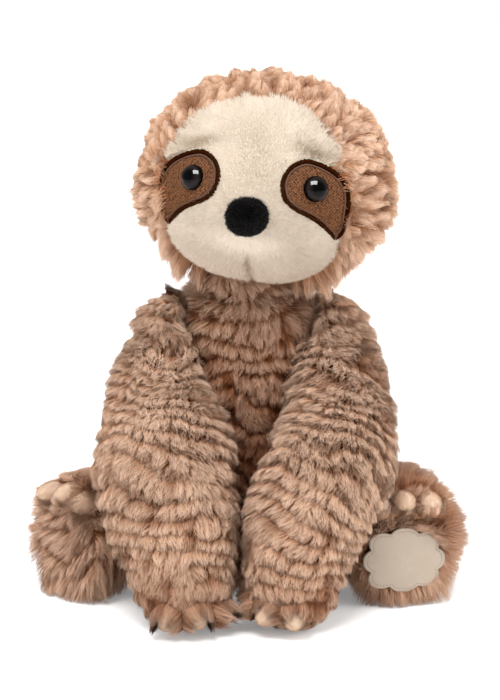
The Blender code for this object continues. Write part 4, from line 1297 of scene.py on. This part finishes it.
def make_nose():
    """A flocked dome with a fuzz of very short black pile."""
    top, normal = stud_top("nose")
    height = 6 * MM
    half = (NOSE_HALF[0] - 0.5 * MM, NOSE_HALF[1] - 0.5 * MM, height)
    piece, points = dome("nose_dome", half, 26, 84, 1.0 * MM, 2.6, 2.25)
    place = stud_frame(top - normal * height, normal)
    piece.matrix_world = place
    dress(piece, NOSE_FLOCK, "head", ("nose",))
    turned = points @ np.array(place.to_3x3()).T + np.array(place.translation)
    form = Form(turned)
    rng = np.random.default_rng(61)
    spots, normals, flow, _ = form.scatter(13, rng)
    count = len(spots)
    flow = unit(flow + np.cross(normals, flow) * (1.2 * rng.standard_normal(count))[:, None])
    low = 0.12 * ease(-dot(spots - top, turn_to_toy(UPWARDS))[:, 0], 0, 7 * MM)
    tone = 0.22 + low + 0.10 * rng.standard_normal(count) + 0.8 * (rng.random(count) > 0.994)
    lock = 0.5 + 0.5 * ripple(spots, 1.3 * MM, 8)
    rim = ease((spots - top) @ -normal, 2.5 * MM, 5.5 * MM)
    length = (0.35 + 0.5 * lock) * MM * rng.uniform(0.6, 1.3, count)
    lean = 0.5 * MM * rng.uniform(0, 1.4, count)
    length = length + 0.9 * MM * rim * lock * rng.uniform(0, 1.3, count)
    fuzz = grow_short("nose_pile", spots, normals, flow, tone, length, lean, 0.08 * MM, 0.2 * MM)
    dress(fuzz, NOSE_PILE, "head")


# Claws and the foot patch

# how blunt a claw's end is: 2 is round, more is blunter
BLUNT = 2.3


def make_claw(node, body):
    """A stuffed claw of short cream plush, a little pointed, with a seam down each side."""
    middle, axes, half = solid_axes(node)
    base = np.array([v.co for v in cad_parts[node].data.vertices]).mean(0)
    low, high = (np.array(corner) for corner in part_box(body.replace("_", "_cover_")))
    outward = axes[0] if np.dot(axes[0], base - (low + high) / 2) > 0 else -axes[0]
    sideways = unit(np.cross(outward, UPWARDS))
    upward = np.cross(sideways, outward)
    length = half[0] + 0.3 * MM
    wide = (half[1] + half[2]) / 2 + 0.5 * MM
    t = np.linspace(-0.97, 0.995, 26)
    around = full_turn(28)
    radius = np.sqrt(1 - np.abs(t) ** BLUNT) * (1 - 0.13 * t)
    seam = 1 - 0.07 * np.exp(-((np.sin(around)) / 0.16) ** 2)
    points = (
        middle + outward * (t * length)[:, None, None]
        + sideways * (wide * radius[:, None] * np.cos(around) * seam)[..., None]
        + upward * (0.92 * wide * radius[:, None] * np.sin(around))[..., None]
        - upward * (0.10 * wide * np.clip(t, 0, 1) ** 2)[:, None, None]
    )
    form = Form(points)
    rows, columns = points.shape[:2]
    faces = closed_faces(rows, columns, form.turned)
    piece = add_mesh(node.replace("claw", "claw_plush"), points.reshape(-1, 3), faces)
    dress(piece, CLAW_PLUSH, body, (node,))
    rng = np.random.default_rng(sum(map(ord, node)))
    spots, normals, flow, _ = form.scatter(9, rng)
    count = len(spots)
    lock = ripple(spots, 1.2 * MM, 5)
    flow = unit(flow + np.cross(normals, flow) * (0.5 * lock + 0.4 * rng.standard_normal(count))[:, None])
    tone = 0.75 + 0.12 * rng.standard_normal(count) + 0.12 * lock
    fuzz_length = 0.55 * MM * rng.uniform(0.6, 1.3, count)
    lean = 0.7 * MM * rng.uniform(0.5, 1.4, count)
    label = node.replace("claw", "claw_pile")
    fuzz = grow_short(label, spots, normals, flow, tone, fuzz_length, lean, 0.09 * MM, 0.2 * MM)
    dress(fuzz, CLAW_PILE, body)
    if node in CUFFS:
        grow_cuff(node, body, middle, outward, sideways, upward, length, wide)
    if node in FRINGES:
        grow_fringe(node, body, middle, outward, sideways, upward, length, wide)


# the turns, in degrees, between which the limb's pile lies over a claw, and how far along it it reaches
CUFFS = {
    "foot_claw_left_1": (-190, 10, 0.55),
    "foot_claw_left_2": (-170, -10, 0.30),
    "foot_claw_left_3": (-190, 10, 0.55),
    "foot_claw_right_1": (-180, 0, 0.50),
    "foot_claw_right_2": (-180, 0, 0.40),
    "hand_claw_left_1": (-20, 200, 0.80),
    "hand_claw_left_2": (-20, 200, 0.75),
    "hand_claw_left_3": (-20, 200, 0.9),
    **{f"hand_claw_right_{i}": (-40, 220, 1.3) for i in (1, 2, 3)},
}


# how far up in front of a claw the pile below it stands, from -1 at the claw's foot to 1 at its top
FRINGES = {
    "foot_claw_left_1": 0.05, "foot_claw_left_2": -0.62, "foot_claw_left_3": 0.05,
    "foot_claw_right_1": -0.25, "foot_claw_right_2": -0.15,
}


def grow_fringe(node, body, middle, outward, sideways, upward, length, wide):
    """Pile rooted below a foot's claw that stands up in front of it."""
    rng = np.random.default_rng(sum(map(ord, node)) + 2)
    count = 1500
    beside = rng.uniform(-1.3, 1.3, count)
    lock = np.sin(beside * 6 + rng.uniform(0, 6))
    level = FRINGES[node] + 0.14 * lock + 0.12 * rng.standard_normal(count)
    layer = rng.uniform(0.2, 2.2, count) * MM

    def place(share, height, out):
        spot = middle + sideways * (wide * beside * share)[:, None]
        spot = spot + upward * (wide * (height + 0 * beside))[:, None]
        return spot + outward * (out + 0 * beside)[:, None]

    def before_claw(share, height, gap):
        off = np.clip(1 - (beside * share) ** 2 - height**2, 0, 1) ** (1 / BLUNT)
        return place(share, height, length * off + gap)

    rise = level + 1.25
    spine = [
        place(1.1, -1.5, -1.3 * length),
        place(1.1, -1.35, -0.1 * length + layer),
        before_claw(1.05, level - 0.55 * rise, 0.6 * MM + layer),
        before_claw(1 + 0.12 * lock, level, 0.3 * MM + 0.8 * layer),
    ]
    side = unit(sideways + 0.8 * outward * rng.uniform(-1, 1, (count, 1)))
    tone = 0.52 + 0.12 * rng.standard_normal(count) + 0.14 * lock
    half = LONG_COAT["half_width"]
    facing = outward + 0.4 * upward + 0.3 * rng.standard_normal((count, 3))
    fringe = add_blades(node.replace("claw", "fringe"), spine, side, (half, half, half * 0.8), tone, facing)
    dress(fringe, BROWN_PILE, body)


def grow_cuff(node, body, middle, outward, sideways, upward, length, wide):
    """Long pile rooted beside a claw that lies along it."""
    first, last, cover = CUFFS[node]
    rng = np.random.default_rng(sum(map(ord, node)) + 1)
    count = int((last - first) * 4.5)
    turn = np.radians(rng.uniform(first, last, count))
    lock = np.sin(turn * 5 + rng.uniform(0, 6))
    turn_tip = turn + 0.22 * lock + 0.12 * rng.standard_normal(count)
    radial = sideways * np.cos(turn)[:, None] + upward * np.sin(turn)[:, None]
    radial_tip = sideways * np.cos(turn_tip)[:, None] + upward * np.sin(turn_tip)[:, None]
    reach = length * (cover + 0.22 * lock + 0.25 * rng.standard_normal(count) - 0.1)
    layer = rng.uniform(0.3, 3.0, count) * MM
    roots = middle - outward * 1.15 * length + radial * (wide + layer * 0.6)[:, None]
    low = middle - outward * 0.45 * length + radial * (wide + layer + 0.5 * MM)[:, None]
    high = middle + outward * (reach * 0.5)[:, None] + radial * (wide + layer * 0.9)[:, None]
    narrow = wide * np.sqrt(np.clip(1 - np.clip(reach / length, 0, 1) ** BLUNT, 0.35, 1))
    tips = middle + outward * reach[:, None] + radial_tip * (narrow + layer * 0.7)[:, None]
    spine = [roots, low, high, tips]
    for points in spine:
        points[:, 2] = np.maximum(points[:, 2], 0.4 * MM)
    side = unit(np.cross(radial, outward) + 0.8 * radial * rng.uniform(-1, 1, (count, 1)))
    # the hands' cuffs take a lower tone: painted shade low by the floor
    tone = (0.34 if node.startswith("hand") else 0.55) + 0.12 * rng.standard_normal(count) + 0.15 * lock
    half = LONG_COAT["half_width"]
    facing = radial + 0.3 * rng.standard_normal((count, 3))
    cuff = add_blades(node.replace("claw", "cuff"), spine, side, (half, half, half * 0.8), tone, facing)
    dress(cuff, BROWN_PILE, body)


def lobed(turn):
    """The patch's eight-lobed outline, as a share of its ellipse."""
    return (1 - 0.17 * (1 - np.abs(np.cos(turn * 4)))) * (1 + 0.11 * np.abs(np.sin(turn * 2)))


def make_foot_patch():
    """A bare leather patch with a scalloped, rolled edge and a line of stitches just inside it."""
    middle, axes, _ = solid_axes("foot_patch")
    across, rise, along = axes
    half_across, half_rise = FOOT_PATCH_HALF
    along = along if along[1] < 0 else -along
    around = full_turn(256)
    inner = np.linspace(0.02, 0.86, 16)
    shares = np.concatenate([inner, (0.885, 0.90, 0.915, 0.94, 0.97, 0.99, 1.0, 1.0, 0.99)])
    rolled_edge = (0.60, 0.50, 0.60, 0.66, 0.60, 0.42, 0.1, -0.5, -0.6)
    lifts = np.concatenate([0.62 + 0.10 * (1 - inner**2), rolled_edge])
    out = shares[:, None] * lobed(around)[None]
    top = lifts[:, None] * MM + 0.05 * MM * ripple(np.stack([out, out * 0 + around, 0 * out], -1), 0.3, 4)
    points = (
        middle + across * (half_across * out * np.cos(around))[..., None]
        + rise * (half_rise * out * np.sin(around))[..., None] + along * top[..., None]
    )
    rows, columns = points.shape[:2]
    flip = np.dot(np.cross(across, rise), along) > 0
    patch = add_mesh("foot_patch_leather", points.reshape(-1, 3), closed_faces(rows, columns, flip))
    dress(patch, PATCH_LEATHER, "leg_left", ("foot_patch",))

    count = 84
    corners, sides = [], []
    for k in range(count):
        ends = 2 * pi * (np.array((k + 0.26, k + 0.74)) / count)
        reach = 0.90 * lobed(ends)
        line = middle + np.outer(half_across * reach * np.cos(ends), across)
        line = line + np.outer(half_rise * reach * np.sin(ends), rise)
        way = unit(line[1] - line[0])
        wide = np.cross(along, way)
        start = len(corners)
        for share, lift in ((0, 0.40), (0.25, 0.68), (0.75, 0.68), (1, 0.40)):
            spot = line[0] + (line[1] - line[0]) * share
            for edge, drop in ((-1, 0.14), (0, 0.0), (1, 0.14)):
                corners.append(spot + wide * edge * 0.17 * MM + along * (lift - drop) * MM)
        for i in range(3):
            for j in range(2):
                a = start + i * 3 + j
                sides.append((a, a + 3, a + 4, a + 1))
    stitches = add_mesh("foot_patch_stitches", corners, sides)
    dress(stitches, PATCH_STITCH, "leg_left")


make_body()
make_head()
for name, side in SIDES.items():
    make_limbs(name, side)
make_face()
for name, side in SIDES.items():
    make_eye_patch(name, side)
    make_eye(name)
    for kind, limb in (("hand", "arm"), ("foot", "leg")):
        for node in claw_names(kind, name):
            make_claw(node, f"{limb}_{name}")
make_nose()
make_mouth()
make_foot_patch()
for node, material in (
    ("neck_band", NECK_CLOTH), ("nose_washer", WASHER_PLASTIC),
    ("eye_washer_left", WASHER_PLASTIC), ("eye_washer_right", WASHER_PLASTIC),
):
    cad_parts[node].data.materials.clear()
    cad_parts[node].data.materials.append(material)


# Stage


def make_stage():
    bpy.ops.mesh.primitive_plane_add(size=6)
    floor = bpy.context.object
    floor.name = "pale_floor"
    material, nodes, links, shader = new_material("pale_floor", 0.9, base=(0.9, 0.9, 0.9, 1))
    glow = nodes.new("ShaderNodeEmission")
    glow.inputs["Strength"].default_value = 0.22
    path = nodes.new("ShaderNodeLightPath")
    add = nodes.new("ShaderNodeAddShader")
    blend = nodes.new("ShaderNodeMixShader")
    out = nodes["Material Output"]
    links.new(shader.outputs[0], add.inputs[0])
    links.new(glow.outputs[0], add.inputs[1])
    links.new(path.outputs["Is Camera Ray"], blend.inputs[0])
    links.new(shader.outputs[0], blend.inputs[1])
    links.new(add.outputs[0], blend.inputs[2])
    links.new(blend.outputs[0], out.inputs["Surface"])
    floor.data.materials.append(material)


def add_sun(name, place, strength, softness):
    sun = bpy.data.lights.new(name, "SUN")
    sun.energy = strength
    sun.angle = softness
    thing = bpy.data.objects.new(name, sun)
    thing.visible_glossy = False
    thing.location = place
    thing.rotation_euler = (-Vector(place)).to_track_quat("-Z", "Y").to_euler()
    bpy.context.scene.collection.objects.link(thing)


def add_window(name, place, size, watts):
    """A small upright lamp, for the spark of light in the eyes."""
    lamp = bpy.data.lights.new(name, "AREA")
    lamp.shape = "RECTANGLE"
    lamp.size, lamp.size_y = size
    lamp.energy = watts
    thing = bpy.data.objects.new(name, lamp)
    thing.visible_diffuse = False
    thing.location = place
    thing.rotation_euler = (Vector((0, -0.05, 0.2)) - Vector(place)).to_track_quat("-Z", "Y").to_euler()
    bpy.context.scene.collection.objects.link(thing)


def make_light():
    world = bpy.data.worlds.new("studio")
    bpy.context.scene.world = world
    world.use_nodes = True
    nodes, links = world.node_tree.nodes, world.node_tree.links
    background = nodes["Background"]
    background.inputs["Color"].default_value = (1, 1, 1, 1)
    path = nodes.new("ShaderNodeLightPath")
    seen = sums(nodes, links, "MAXIMUM", path.outputs["Is Camera Ray"], path.outputs["Is Transmission Ray"])
    strength = nodes.new("ShaderNodeMapRange")
    strength.inputs[3].default_value, strength.inputs[4].default_value = 0.44, 1.0
    links.new(seen, strength.inputs[0])
    links.new(strength.outputs[0], background.inputs["Strength"])
    add_sun("key", (-0.25, -0.9, 1.6), 2.8, radians(30))
    add_sun("fill", (1.5, -0.5, 0.6), 2.4, radians(60))
    add_sun("side", (-1.5, -0.4, 0.6), 1.6, radians(60))
    add_sun("back", (0.3, 1.0, 0.8), 1.1, radians(50))
    add_window("window", (0.0, -0.62, 1.2), (0.95, 0.65), 120)


CAMERA_TARGET = Vector((0, -20 * MM, 120 * MM))
CAMERA_DISTANCE = 1300 * MM
CAMERA_RISE = radians(12)
CAMERA_LENS = 140.75


def make_camera():
    lens = bpy.data.cameras.new("camera")
    lens.lens = CAMERA_LENS
    lens.sensor_width = 36
    lens.clip_start = 0.05
    camera = bpy.data.objects.new("camera", lens)
    back = Vector((0, -cos(CAMERA_RISE), sin(CAMERA_RISE)))
    camera.location = CAMERA_TARGET + back * CAMERA_DISTANCE
    camera.rotation_euler = (-back).to_track_quat("-Z", "Y").to_euler()
    bpy.context.scene.collection.objects.link(camera)
    bpy.context.scene.camera = camera


make_stage()
make_light()
make_camera()
bpy.context.scene.view_settings.view_transform = "Standard"
